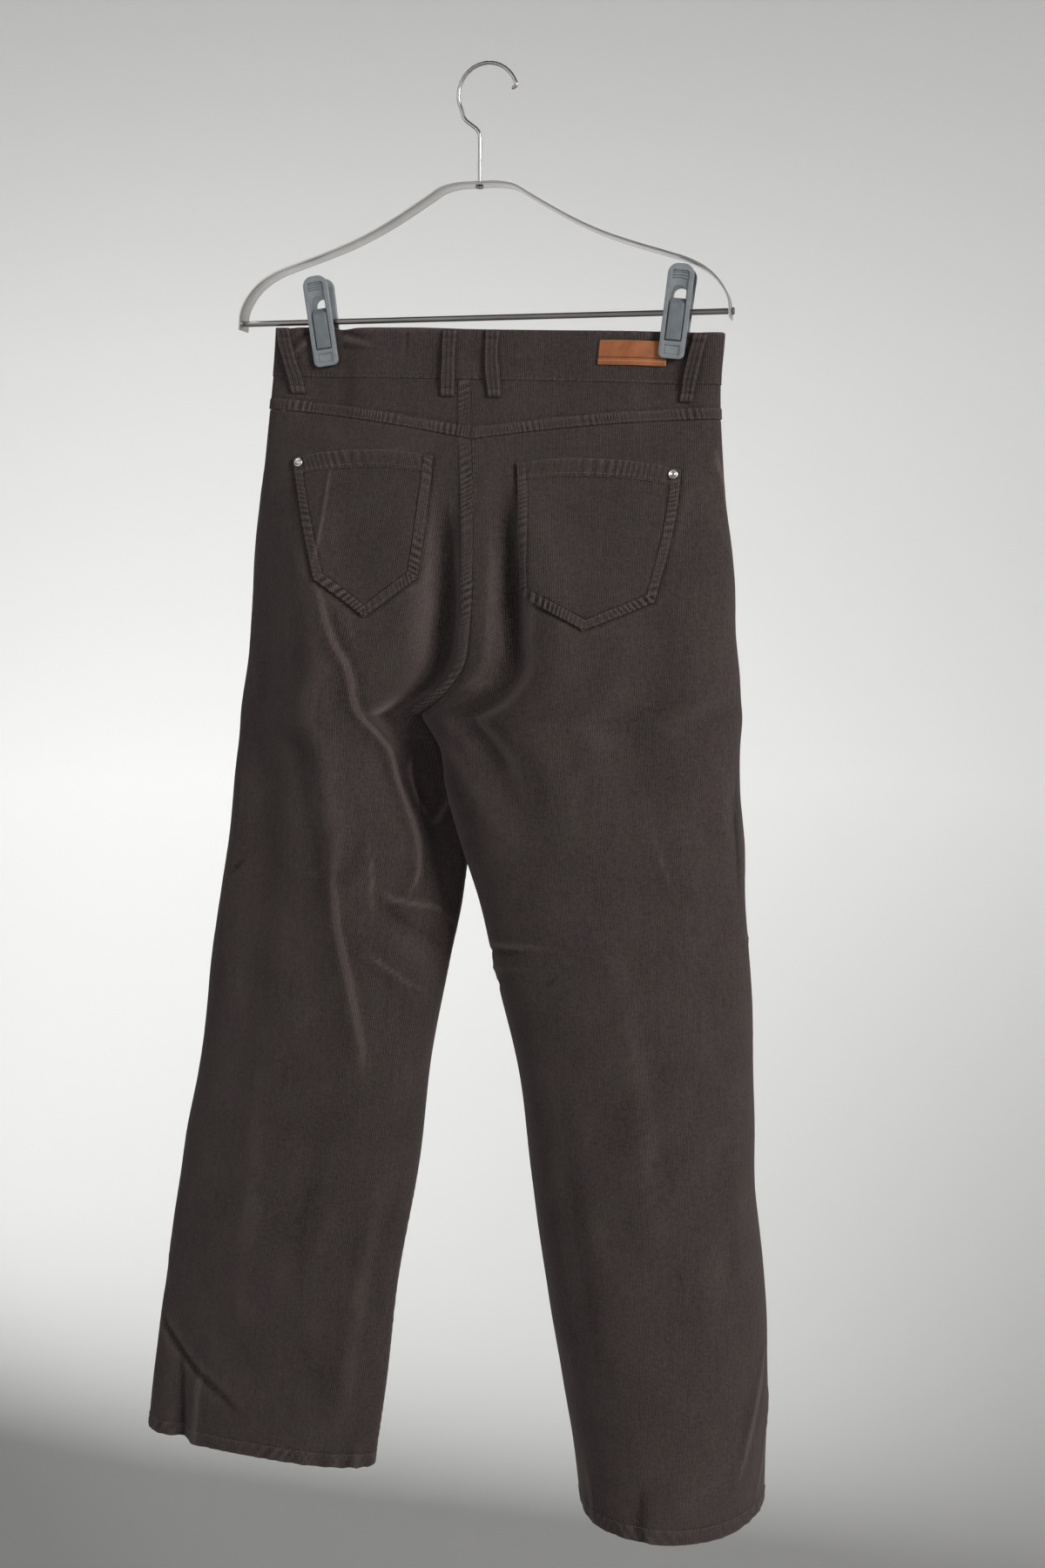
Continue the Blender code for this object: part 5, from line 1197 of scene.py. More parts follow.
def make_button(halves, looks):
    """a four-hole button on the waistband's lapped end, with its thread"""
    half = halves[LEFT]
    z = np.array([[0.5 * (waist_line(2.0) + BAND_FOOT)]])
    t = 2.0 - BUTTON_INSET / half.long_at(z, front=True)
    place, normal = half.point(z, t, np.array([[BAND_OUT + 0.5]]))[0, 0], half.normal(z, t)[0, 0]
    profile = [(r * BUTTON_RADIUS, h * BUTTON_HIGH) for r, h in BUTTON_PROFILE]
    button = stand_on(turned("button_disc", profile, 48, looks["button"]), place, normal)
    finish_piece(button, "button_plastic", "waist_button")
    height = BUTTON_PROFILE[0][1] * BUTTON_HIGH
    frame = button.matrix_world
    runs = []
    for sign in (-1, 1):
        ends = [frame @ (Vector((sign * BUTTON_HOLES, y, height)) * MM) / MM
                for y in (-BUTTON_HOLES, BUTTON_HOLES)]
        line = np.linspace(np.array(ends[0]), np.array(ends[1]), 12)
        runs.append((line, np.tile(normal, (12, 1))))
    finish_piece(thread_mesh("button_thread", runs, looks["thread"], 6.0, 0.0, 0.42), "button_plastic")


# ================================================================ stitches
STITCH_RADIUS, STITCH_SIDES = 0.26, 5
# along one stitch: how far its middle stands off the cloth, and its thickness, as shares of the radius
STITCH_BOW = (-1.1, 0.35, 0.6, 0.35, -1.1)
STITCH_ROUND = (0.55, 0.95, 1.0, 0.95, 0.55)


def thread_mesh(name, runs, look, length, gap, radius):
    """short bowed threads along lines on the cloth, in one mesh; a run is (points, outward directions)"""
    points, faces = [], []
    turn = np.linspace(0.0, TAU, STITCH_SIDES, endpoint=False)
    rings = len(STITCH_BOW)
    for line, out in runs:
        run = np.r_[0.0, np.cumsum(np.linalg.norm(np.diff(line, axis=0), axis=1))]
        count = max(int(run[-1] / (length + gap)), 1)
        pitch = run[-1] / count
        for k in range(count):
            uneven = 0.06 * math.sin(2.4 * k) + 0.05 * math.sin(5.1 * k + 1.0)
            long = pitch * (length / (length + gap) + uneven)
            at = (k + 0.5) * pitch + np.linspace(-0.5, 0.5, rings) * long
            middle = np.stack([np.interp(at, run, line[:, i]) for i in range(3)], axis=1)
            normal = unit(np.stack([np.interp(at, run, out[:, i]) for i in range(3)], axis=1))
            middle = middle + normal * (np.array(STITCH_BOW) * radius)[:, None]
            ahead = unit(np.gradient(middle, axis=0))
            side = unit(np.cross(ahead, normal))
            up = np.cross(side, ahead)
            first = len(points)
            for m, s, w, r in zip(middle, side, up, radius * np.array(STITCH_ROUND)):
                points += [m + r * (math.cos(a) * s + math.sin(a) * w) for a in turn]
            faces += ring_faces(rings, STITCH_SIDES, first)
            faces.append([first + j for j in range(STITCH_SIDES)][::-1])
            faces.append([first + (rings - 1) * STITCH_SIDES + j for j in range(STITCH_SIDES)])
    return mesh_object(name, points, faces, look, 80.0)


def on_surface(half, lift, a, z, front=False):
    """points and directions on a cloth surface along a line given as distances and heights"""
    a, z = np.atleast_2d(a), np.atleast_2d(z)
    t = a / half.long_at(z)
    if front:
        t = 1.0 + (a - half.long_at(z)) / half.long_at(z, front=True)
    return half.point(z, t, lift(half, z, t))[0], half.normal(z, t)[0]


def inward(line, distance):
    """a line moved to its own left side by a distance"""
    ahead = unit(np.gradient(line, axis=0))
    return line + np.stack([-ahead[:, 1], ahead[:, 0]], axis=1) * distance


def pocket_runs(halves):
    """two lines of stitches round each pocket and two along its top"""
    runs = []
    for row in POCKETS:
        pocket = cells(POCKET_COLUMNS, row)
        half = halves[pocket["side"]]

        def lift(half_here, z, t, on=pocket):
            """how far this pocket stands out"""
            return pocket_lift(half_here, z, t, on)

        outline = pocket_outline(pocket)
        for distance in (1.5, POCKET_BORDER - 1.0):
            line = inward(outline, distance)
            line = line[line[:, 1] < pocket["outer_top"] - 1.0]
            runs.append(on_surface(half, lift, line[:, 0], line[:, 1]))
        a, z = pocket_place(np.linspace(0.012, 0.985, 90), np.zeros(90), pocket)
        for drop in (POCKET_TOP_BAND - 2.6, POCKET_TOP_BAND - 0.4):
            runs.append(on_surface(half, lift, a, z - drop))
    return runs


def fly_runs(half):
    """two lines down the fly flap, which turn to the centre front at its foot"""
    runs = []
    quarter = np.linspace(0, 0.5 * math.pi, 30)
    bend_top = FLY_FOOT + FLY_BEND
    for inset in (3.0, 8.5):
        far = FLY_WIDE - inset
        straight = np.stack([np.full(30, far), np.linspace(BAND_FOOT - 4.0, bend_top, 30)], axis=1)
        bend = np.stack([far * np.cos(quarter), bend_top - (FLY_BEND - inset) * np.sin(quarter)], axis=1)
        from_centre, z = np.concatenate([straight, bend[1:-3]]).T
        whole = half.long_at(z) + half.long_at(z, front=True)
        runs.append(on_surface(half, fly_lift, whole - 1.0 - np.maximum(from_centre, 1.0), z, front=True))
    return runs


def panel_runs(halves):
    """waistband foot, yoke seam, centre back seam, hems and the fly's curve"""
    runs = []
    band_foot = np.full(140, BAND_FOOT + BAND_STITCH[0])
    hem_top = np.full(190, HEM + HEM_TURN - 0.6)
    for side, _ in SIDES:
        half = halves[side]
        share = np.linspace(0.003, 0.995, 140)
        runs.append(on_surface(half, band_lift, share * half.long_at(band_foot), band_foot))
        z = yoke_line(share) + 1.6
        runs.append(on_surface(half, yoke_lift, share * half.long_at(z), z))
        back = float(half.long_at(HEM))
        whole = back + float(half.long_at(HEM, front=True))
        runs.append(on_surface(half, panel_lift, np.linspace(0.4, back - 0.4, 190), hem_top))
        a = np.linspace(back + 0.4, whole - 0.6, 190)
        runs.append(on_surface(half, panel_lift, a, hem_top, front=True))
        a = half.along(band_foot, np.linspace(1.004, 1.995, 140))
        runs.append(on_surface(half, band_lift, a, band_foot, front=True))
    left = halves[LEFT]
    for across in (1.6, 7.2):
        for lift, top, foot, count in ((yoke_lift, BAND_FOOT - 2.0, YOKE_CENTRE + 2.0, 40),
                                       (back_lift, YOKE_CENTRE - 2.0, CROTCH + 3.0, 160)):
            runs.append(on_surface(left, lift, np.full(count, across), np.linspace(top, foot, count)))
    return runs + fly_runs(left)


def loop_runs(halves):
    """a line of stitches along each edge of each belt loop and two across its foot"""
    runs = []
    down = np.linspace(0.04, 0.97, 40)
    for k, (_, side, t_top, t_foot) in enumerate(LOOPS):
        half = halves[side]
        lines = [(down, np.full(40, edge), loop_lean(down, np.full(40, edge), k))
                 for edge in (-0.5 * LOOP_WIDE + 1.5, 0.5 * LOOP_WIDE - 1.5)]
        across = np.linspace(-4.6, 4.6, 12)
        lines += [(np.full(12, high), across, across) for high in (0.895, 0.955)]
        for at, across, lean in lines:
            z, t = loop_place(half, t_top, t_foot, at[None], lean[None])
            rise, thick = loop_lift(at, across, k)
            runs.append((half.point(z, t, (rise + thick)[None])[0], half.normal(z, t)[0]))
    return runs


def make_stitches(halves, looks):
    """all threads, with the length of a stitch and the gap between two"""
    for name, runs, length, gap in (("thread_panels", panel_runs(halves), 2.6, 0.9),
                                    ("thread_pockets", pocket_runs(halves), 2.5, 0.9),
                                    ("thread_loops", loop_runs(halves), 2.2, 0.7)):
        finish_piece(thread_mesh(name, runs, looks["thread"], length, gap, STITCH_RADIUS), "corduroy")


# ================================================================ hanger and clips
HANGER_X = -7.0
STRAP_WIDE, STRAP_THICK = 21.0, 1.8
# half of the strap's line: distance from the middle of the hanger, and height
STRAP_LINE = [(0, -97), (19, -97.5), (31, -100), (45, -108), (62, -118), (84, -130), (108, -141),
              (136, -151), (163, -159.5), (182, -166), (196, -174), (207, -185), (213.5, -197), (215.4, -213)]
STRAP_EDGE = 0.45                    # how far the strip's long edges are rounded
WIRE_RADIUS, HOOK_RADIUS = 1.6, 25.5
# the hook's line (x, z): its tip, and from its round part down to the strap
HOOK_TIP = (20.6, -20.4)
HOOK_SHAFT = [(-20.0, -43.0), (-14.0, -48.0), (-9.6, -51.6), (-7.6, -54.6), (HANGER_X, -59.0),
              (HANGER_X, -80.0), (HANGER_X, STRAP_LINE[0][1] - 1.2)]
# radius and height of the hook's riveted head under the strap, from the top down
HEAD_PROFILE = [(0.0, 0.0), (2.6, -0.1), (3.4, -0.5), (3.6, -1.1), (3.3, -1.9), (2.2, -2.6), (0.0, -2.8)]
JAW_FOOT = -245.5
LEAF_LONG, LEAF_WIDE, LEAF_THICK, LEAF_SPLAY = 77.0, 22.0, 3.6, 2.6
LEAF_ROUND = (8.6, 5.0)              # corner radii at the leaf's top and foot
CHANNEL_WIDE, CHANNEL_DEEP = 15.6, 1.6
# what is cut out of a leaf: (width, top, foot, corner radii at top and foot), then its near and far depth
LEAF_CUTS = [
    ("channel", (CHANNEL_WIDE - 0.8, 5.4, 62.8, 2.4, 1.0), -2.0, CHANNEL_DEEP),
    ("well", (CHANNEL_WIDE - 0.8, 29.0, 62.8, 0.8, 1.0), -2.0, LEAF_THICK - 0.45),
    ("hole", (12.6, 17.4, 32.5, 6.0, 0.5), -LEAF_THICK, 2.0 * LEAF_THICK),
    ("inset", (13.6, 66.0, 74.0, 0.9, 0.9, 4), -2.0, 0.8),
]
RAISED = (11.6, 67.0, 73.0, 0.7, 0.7, 4)     # the raised middle of the inset
RIDGE_DROPS = (7.4, 9.7, 12.0)       # finger ridges, from the top of the leaf
RIDGE_RADIUS, RIDGE_SAG = 0.85, 1.3
SPRING_TOP, SPRING_FOOT, SPRING_EDGE = 30.6, 61.5, 6.3
SPRING_BEND = 3.4                    # how far the spring strip's top is bent in


def tube(name, line, radius, sides, look):
    """a round tube along points in millimetres, closed at both ends; radius may differ along it"""
    line = np.asarray(line, float)
    radius = np.broadcast_to(radius, len(line))
    ahead = unit(np.gradient(line, axis=0))
    side = unit(np.cross(ahead, np.array([0.0, 1.0, 0.0]) + 1e-6))
    up = np.cross(side, ahead)
    angle = np.linspace(0.0, TAU, sides, endpoint=False)
    rings = [p + r * (np.cos(angle)[:, None] * s + np.sin(angle)[:, None] * w)
             for p, r, s, w in zip(line, radius, side, up)]
    faces = ring_faces(len(line), sides)
    faces.append(list(range(sides))[::-1])
    faces.append(list(range((len(line) - 1) * sides, len(line) * sides)))
    return mesh_object(name, np.concatenate(rings), faces, look)


def curve_through(points, count):
    """a smooth line of that many places, evenly spaced along the line through the points"""
    points = np.array(points, float)
    run = np.r_[0.0, np.cumsum(np.hypot(*np.diff(points, axis=0).T))]
    rows = [(-r, *p) for r, p in zip(run, points)]
    at = np.linspace(0.0, run[-1], count)
    return np.stack([column(rows, "run across high", name, -at) for name in ("across", "high")], axis=1), at


def make_hook(looks):
    """tip, round over the top, back under to the shaft, and down to its head under the strap"""
    rough = [HOOK_TIP]
    centre_z = WIRE_RADIUS - HOOK_RADIUS
    for degrees in range(15, 206, 10):
        angle = math.radians(degrees)
        rough.append((HOOK_RADIUS * math.cos(angle), centre_z + HOOK_RADIUS * math.sin(angle)))
    line, at = curve_through(rough + HOOK_SHAFT, 150)
    radius = WIRE_RADIUS * np.clip(np.sqrt(np.clip(at / 1.4, 0.12, 1.0)), 0.3, 1.0)
    hook = tube("hook_wire", np.insert(line, 1, 0.0, axis=1), radius, 20, looks["steel_wire"])
    finish_piece(hook, "steel", "hanger_hook")
    head = turned("hook_head", HEAD_PROFILE, 28, looks["steel_wire"])
    head.location = Vector((HANGER_X, 0.0, STRAP_LINE[0][1] - STRAP_THICK / 2.0 - 0.2)) * MM
    finish_piece(head, "steel")


def make_strap(looks):
    """flat strip bent to an arch, its long edges slightly rounded"""
    right, _ = curve_through(STRAP_LINE, 90)
    line = np.concatenate([right[:0:-1] * (-1, 1), right])
    ahead = unit(np.gradient(line, axis=0))
    out = np.stack([-ahead[:, 1], ahead[:, 0]], axis=1)
    h, w, r = STRAP_THICK / 2.0, STRAP_WIDE / 2.0, STRAP_EDGE
    section = [(h, -w + r), (h, w - r), (h - 0.3 * r, w - 0.3 * r), (h - r, w), (-h + r, w),
               (-h + 0.3 * r, w - 0.3 * r), (-h, w - r), (-h, -w + r), (-h + 0.3 * r, -w + 0.3 * r),
               (-h + r, -w), (h - r, -w), (h - 0.3 * r, -w + 0.3 * r)]
    sides = len(section)
    points = []
    for p, n in zip(line, out):
        points += [(p[0] + n[0] * a + HANGER_X, y, p[1] + n[1] * a) for a, y in section]
    faces = ring_faces(len(line), sides, flip=True)
    faces.append(list(range(sides)))
    faces.append(list(range((len(line) - 1) * sides, len(line) * sides))[::-1])
    strap = mesh_object("strap_strip", points, faces, looks["steel_strap"], 40.0)
    finish_piece(strap, "steel", "hanger_strap")


def leaf_outline(wide, top, foot, top_round, foot_round, fine=10):
    """a rounded plate's outline (x, z), its top at z = -top"""
    half = wide / 2.0
    outline = []
    for x, z, radius, start in ((half - top_round, -top - top_round, top_round, 0),
                                (-half + top_round, -top - top_round, top_round, 90),
                                (-half + foot_round, -foot + foot_round, foot_round, 180),
                                (half - foot_round, -foot + foot_round, foot_round, 270)):
        for angle in np.radians(np.linspace(start, start + 90, fine)):
            outline.append((x + radius * math.cos(angle), z + radius * math.sin(angle)))
    return outline


def plate_solid(name, outline, near, far, look=None, rounding=0.0):
    """an upright plate between two depths y, with its edges rounded"""
    bm = bmesh.new()
    face = bm.faces.new([bm.verts.new((x * MM, near * MM, z * MM)) for x, z in outline])
    grown = bmesh.ops.extrude_face_region(bm, geom=[face])
    moved = [v for v in grown["geom"] if isinstance(v, bmesh.types.BMVert)]
    bmesh.ops.translate(bm, verts=moved, vec=(0.0, (far - near) * MM, 0.0))
    bmesh.ops.recalc_face_normals(bm, faces=bm.faces)
    if rounding:
        sharp = [e for e in bm.edges if len(e.link_faces) == 2 and e.calc_face_angle(0.0) > math.radians(50)]
        bmesh.ops.bevel(bm, geom=sharp, offset=rounding * MM, segments=3, profile=0.6, affect="EDGES")
    mesh = bpy.data.meshes.new(name)
    bm.to_mesh(mesh)
    bm.free()
    if look:
        mesh.materials.append(look)
    return linked(name, mesh)


def apply_all(made, smooth_angle=35.0):
    """put the object's modifiers into its mesh"""
    bpy.context.view_layer.update()
    mesh = bpy.data.meshes.new_from_object(made.evaluated_get(bpy.context.evaluated_depsgraph_get()))
    made.modifiers.clear()
    made.data = mesh
    shade(mesh, smooth_angle)


def without(made, *cutters):
    """take the cutters out of a solid, exactly"""
    for cutter in cutters:
        step = made.modifiers.new(cutter.name, "BOOLEAN")
        step.operation = "DIFFERENCE"
        step.solver = "EXACT"
        step.object = cutter
    apply_all(made)
    for cutter in cutters:
        bpy.data.objects.remove(cutter)


def make_leaf_mesh(looks):
    """one leaf with its top at the origin and its outer face at y = 0: rim, channel, well, hole and inset"""
    outline = leaf_outline(LEAF_WIDE, 0.0, LEAF_LONG, *LEAF_ROUND, 12)
    leaf = plate_solid("leaf_master", outline, 0.0, LEAF_THICK, looks["clip"], 0.8)
    without(leaf, *[plate_solid(name, leaf_outline(*size), near, far) for name, size, near, far in LEAF_CUTS])
    soften = leaf.modifiers.new("soften", "BEVEL")
    soften.width = 0.3 * MM
    soften.segments = 2
    soften.limit_method = "ANGLE"
    soften.angle_limit = math.radians(40)
    apply_all(leaf)
    return leaf


def leaf_extras(looks):
    """finger ridges and the raised middle of the inset, as one mesh"""
    half = 0.5 * CHANNEL_WIDE - 1.2
    x = np.linspace(-half, half, 15)
    sag = RIDGE_SAG * (1.0 - (x / half) ** 2)
    ends = np.clip((1.0 - np.abs(x / half)) * 6.0, 0.25, 1.0)
    parts = []
    for drop in RIDGE_DROPS:
        line = np.stack([x, np.full(15, CHANNEL_DEEP - 0.1), -drop + sag], axis=1)
        parts.append(tube("ridge", line, RIDGE_RADIUS * ends, 10, looks["clip"]))
    parts.append(plate_solid("raised", leaf_outline(*RAISED), 0.5, 1.2, looks["clip"], 0.2))
    bm = bmesh.new()
    for part in parts:
        bm.from_mesh(part.data)
        bpy.data.objects.remove(part)
    mesh = bpy.data.meshes.new("leaf_extras")
    bm.to_mesh(mesh)
    bm.free()
    mesh.materials.append(looks["clip"])
    shade(mesh, 40.0)
    return mesh


def spring_plate(looks):
    """the flat spring strip in the channel, its top bent in through the hole"""
    edge = SPRING_EDGE
    across = steps((-edge, -edge + 0.6, 0.2), (-edge + 0.6, edge - 0.6, 1.2), (edge - 0.6, edge, 0.2))
    down = steps((SPRING_TOP - 3.0, SPRING_TOP + 3.0, 0.4), (SPRING_TOP + 3.0, SPRING_FOOT - 0.6, 3.0),
                 (SPRING_FOOT - 0.6, SPRING_FOOT, 0.2))
    x, d = np.meshgrid(across, down)
    bend = SPRING_BEND * smooth((SPRING_TOP + 2.6 - d) / 5.6)
    from_edge = np.minimum(edge - np.abs(x), SPRING_FOOT - d)
    face = 0.35 + bend + 0.35 * (1.0 - smooth(from_edge / 0.6)) ** 2
    outer = np.stack([x, face, -d], axis=-1)
    inner = np.stack([x, bend + 1.35, -d], axis=-1)
    place = np.stack([x, -d], axis=-1)
    return cloth_wall("spring_master", outer, inner, place, np.zeros(x.shape), looks["spring"])


def make_clips(looks):
    """two leaves of each clip with their ridges and spring strips, which share their meshes"""
    leaf, spring = make_leaf_mesh(looks), spring_plate(looks)
    meshes = {"leaf": leaf.data, "ridges": leaf_extras(looks), "plate": spring.data}
    for master in (leaf, spring):
        bpy.data.objects.remove(master)
    splay = math.radians(LEAF_SPLAY)
    for name, x, lean, jaw_back, jaw_front in CLIPS:
        for label, facing, jaw in (("front", 1, jaw_back), ("back", -1, jaw_front)):
            turn = Matrix.Rotation(math.radians(lean), 4, "Y") @ Matrix.Rotation(splay * facing, 4, "X")
            if facing < 0:
                turn = turn @ Matrix.Rotation(math.pi, 4, "Z")
            foot = Vector((x, -facing * (jaw + LEAF_THICK), JAW_FOOT))
            top = foot - (turn.to_3x3() @ Vector((0, 0, -LEAF_LONG)))
            for kind, mesh in meshes.items():
                made = linked("_".join((name, label, kind)), mesh)
                made.matrix_world = Matrix.Translation(top * MM) @ turn
                if kind == "leaf":
                    finish_piece(made, "clip_plastic", name + "_" + label)
                elif kind == "ridges":
                    finish_piece(made, "clip_plastic")
                else:
                    finish_piece(made, "spring_plastic")
        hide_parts(name + "_spring")


# ================================================================ materials
class Look:
    """a material with its Principled shader and short ways to add nodes to it"""

    mix_share, mix_first, mix_second, mix_result = 0, 6, 7, 2        # sockets of a colour Mix node

    def __init__(self, name, colour, roughness, metallic=0.0, **sockets):
        self.made = bpy.data.materials.new(name)
        self.made.use_nodes = True
        self.tree = self.made.node_tree
        self.shader = self.tree.nodes["Principled BSDF"]
        self.shader.inputs["Base Color"].default_value = (*colour, 1.0)
        self.shader.inputs["Roughness"].default_value = roughness
        self.shader.inputs["Metallic"].default_value = metallic
        for socket, value in sockets.items():
            self.shader.inputs[socket.replace("_", " ")].default_value = value
        self.made.diffuse_color = (*colour, 1.0)

    def set(self, node, socket, value):
        """link a socket to another node's output, or give it a value"""
        if isinstance(value, bpy.types.NodeSocket):
            self.tree.links.new(value, node.inputs[socket])
        else:
            node.inputs[socket].default_value = value

    def math(self, operation, first, second=0.0, third=0.0):
        """the result of a Math node"""
        node = self.tree.nodes.new("ShaderNodeMath")
        node.operation = operation
        for socket, value in enumerate((first, second, third)):
            self.set(node, socket, value)
        return node.outputs[0]

    def place(self, source="cut", scale=(1.0, 1.0, 1.0)):
        """the place on the cut piece, or on the object, stretched by scale"""
        if source == "cut":
            node = self.tree.nodes.new("ShaderNodeUVMap")
            node.uv_map = "cut"
            vector = node.outputs[0]
        else:
            node = self.tree.nodes.new("ShaderNodeTexCoord")
            vector = node.outputs["Object"]
        stretch = self.tree.nodes.new("ShaderNodeVectorMath")
        stretch.operation = "MULTIPLY"
        self.set(stretch, 0, vector)
        self.set(stretch, 1, scale)
        return stretch.outputs[0]

    def noise(self, vector, scale, detail=2.0, rough=0.5):
        """smooth noise from 0 to 1, mostly near 0.5"""
        node = self.tree.nodes.new("ShaderNodeTexNoise")
        self.set(node, "Vector", vector)
        self.set(node, "Scale", scale)
        self.set(node, "Detail", detail)
        self.set(node, "Roughness", rough)
        return node.outputs["Fac"]

    def part(self, vector, axis):
        """one part of a vector"""
        node = self.tree.nodes.new("ShaderNodeSeparateXYZ")
        self.set(node, 0, vector)
        return node.outputs[axis]

    def attribute(self, name):
        """a value that the mesh carries at each point"""
        node = self.tree.nodes.new("ShaderNodeAttribute")
        node.attribute_name = name
        return node.outputs["Fac"]

    def mix(self, share, first, second, blend="MIX"):
        """one colour blended with another"""
        node = self.tree.nodes.new("ShaderNodeMix")
        node.data_type = "RGBA"
        node.blend_type = blend
        self.set(node, self.mix_share, share)
        for socket, value in ((self.mix_first, first), (self.mix_second, second)):
            self.set(node, socket, value if isinstance(value, bpy.types.NodeSocket) else (*value, 1.0))
        return node.outputs[self.mix_result]

    def spread(self, value, low, high, to_low=0.0, to_high=1.0):
        """a value's range stretched to another, and held inside it"""
        node = self.tree.nodes.new("ShaderNodeMapRange")
        for socket, number in enumerate((value, low, high, to_low, to_high)):
            self.set(node, socket, number)
        return node.outputs[0]

    def colour(self, socket):
        """take the base colour from a socket"""
        self.set(self.shader, "Base Color", socket)

    def roughness(self, socket):
        """take the roughness from a socket"""
        self.set(self.shader, "Roughness", socket)

    def bump(self, height, distance, strength=1.0):
        """fine relief in the shading, distance metres high"""
        node = self.tree.nodes.new("ShaderNodeBump")
        self.set(node, "Height", height)
        self.set(node, "Distance", distance)
        self.set(node, "Strength", strength)
        self.set(self.shader, "Normal", node.outputs[0])


WALE_WOBBLE = 0.0006             # how far a wale strays from its line, in metres
WALE_GROOVE_SHADE = 0.22, 1.0           # how light the cloth is between the wales and on them: painted shade in the grooves between the wales
PILE_LIGHT = 0.32, 0.62
# rise in millimetres from and to, and what it adds to the lightness there: painted shade in pits, then a
# painted highlight with worn pile on crests
PIT_PAINTED_SHADE = -0.05, -0.50, 0.0, -0.24
CREST_HIGHLIGHT_AND_WEAR = 0.04, 0.50, 0.0, 0.36


def corduroy_look():
    """fine wales along the cut with painted shade between them, a short pile with painted shade in its pits
    and a painted highlight with worn pile on its crests, and soft uneven patches
    """
    look = Look("corduroy_pile", (0.046, 0.038, 0.036), 0.9, Sheen_Weight=0.22, Sheen_Roughness=0.45,
                Sheen_Tint=(0.92, 0.78, 0.77, 1.0), Specular_IOR_Level=0.12)
    cut, place = look.place("cut"), look.place("object")
    wobble = look.math("MULTIPLY_ADD", look.noise(cut, 26.0, 1.0), 2.0 * WALE_WOBBLE, -WALE_WOBBLE)
    across = look.math("ADD", look.part(cut, 0), wobble)
    turn = look.math("MULTIPLY", across, math.pi / (WALE * MM))
    wale = look.math("POWER", look.math("ABSOLUTE", look.math("SINE", turn)), 0.7)
    pile = look.noise(look.place("cut", (2400.0, 700.0, 1.0)), 1.0, 2.0, 0.6)
    # the grooves between the wales get painted shade
    light = look.math("MULTIPLY", look.spread(wale, 0.0, 1.0, *WALE_GROOVE_SHADE),
                      look.spread(pile, 0.2, 0.8, *PILE_LIGHT))
    uneven = [
        (look.noise(place, 17.0, 3.0, 0.55), 0.055),
        (look.noise(look.place("cut", (240.0, 22.0, 1.0)), 1.0, 2.0, 0.6), 0.035),
        (look.noise(place, 330.0, 2.0, 0.6), 0.120),
        (look.noise(look.place("cut", (900.0, 620.0, 1.0)), 1.0, 1.0, 0.5), 0.120),
    ]
    for cause, part in uneven:
        light = look.math("ADD", light, look.spread(cause, 0.28, 0.72, -part, part))
    # painted shade in the pits, then a painted highlight, with worn pile, on the crests
    rise = look.attribute("rise")
    for tint in (PIT_PAINTED_SHADE, CREST_HIGHLIGHT_AND_WEAR):
        light = look.math("ADD", light, look.spread(rise, *tint))
    tone = look.mix(look.spread(light, -0.05, 1.0), (0.010, 0.0078, 0.0075), (0.104, 0.084, 0.081))
    green = look.noise(look.place("object", (1.0, 1.0, 0.8)), 26.0, 2.0, 0.5)
    hue = look.mix(look.spread(green, 0.34, 0.68), (1.03, 0.96, 0.985), (0.985, 0.995, 0.95))
    look.colour(look.mix(1.0, tone, hue, "MULTIPLY"))
    height = look.math("MULTIPLY", wale, look.spread(pile, 0.2, 0.8, 0.7, 1.0))
    look.bump(height, 0.0004, 0.8)
    return look.made


def leather_look():
    """smooth cognac leather: fine grain, slight blotches, lighter worn edges and a darker pressed line"""
    look = Look("cognac_leather", (0.30, 0.10, 0.034), 0.5, Specular_IOR_Level=0.4)
    blotch = look.noise(look.place("cut"), 90.0, 3.0, 0.6)
    grain = look.noise(look.place("cut", (1.0, 1.15, 1.0)), 1500.0, 3.0, 0.65)
    tone = look.mix(look.spread(blotch, 0.3, 0.7), (0.225, 0.070, 0.022), (0.345, 0.118, 0.040))
    rise = look.attribute("rise")
    for low, high, tint in ((0.1, 0.9, (0.62, 0.30, 0.14)), (-0.1, -0.9, (0.085, 0.028, 0.012))):
        tone = look.mix(look.spread(rise, low, high, 0.0, 0.75), tone, tint)
    look.colour(tone)
    look.roughness(look.spread(blotch, 0.2, 0.8, 0.44, 0.60))
    look.bump(grain, 0.00012, 0.55)
    return look.made


def steel_look(name, colour, roughness, stretch):
    """satin steel with fine drawn or brushed lines, which run where stretch is small"""
    look = Look(name, colour, roughness, 1.0)
    lines = look.noise(look.place("object", stretch), 1.0, 3.0, 0.6)
    cloud = look.noise(look.place("object"), 30.0, 2.0, 0.5)
    dull = tuple(0.80 * c for c in colour)
    look.colour(look.mix(look.spread(look.math("ADD", lines, cloud), 0.7, 1.3), dull, colour))
    look.roughness(look.spread(lines, 0.3, 0.7, roughness - 0.06, roughness + 0.09))
    look.bump(lines, 0.00004, 0.5)
    return look.made


def plastic_look(name, colour, roughness):
    """moulded plastic: slight mottling, fine surface texture"""
    look = Look(name, colour, roughness)
    cloud = look.noise(look.place("object"), 120.0, 3.0, 0.6)
    grit = look.noise(look.place("object"), 2600.0, 2.0, 0.6)
    light = tuple(min(1.18 * c, 1.0) for c in colour)
    dark = tuple(0.84 * c for c in colour)
    look.colour(look.mix(look.spread(cloud, 0.3, 0.7), dark, light))
    look.roughness(look.spread(cloud, 0.3, 0.7, roughness - 0.05, roughness + 0.08))
    look.bump(grit, 0.00006, 0.5)
    return look.made


def thread_look():
    """thread a little lighter than the cloth"""
    look = Look("brown_thread", (0.085, 0.067, 0.060), 0.8)
    fibre = look.noise(look.place("object"), 900.0, 2.0, 0.6)
    look.colour(look.mix(look.spread(fibre, 0.3, 0.7), (0.050, 0.039, 0.035), (0.120, 0.096, 0.087)))
    look.bump(fibre, 0.0001, 0.6)
    return look.made


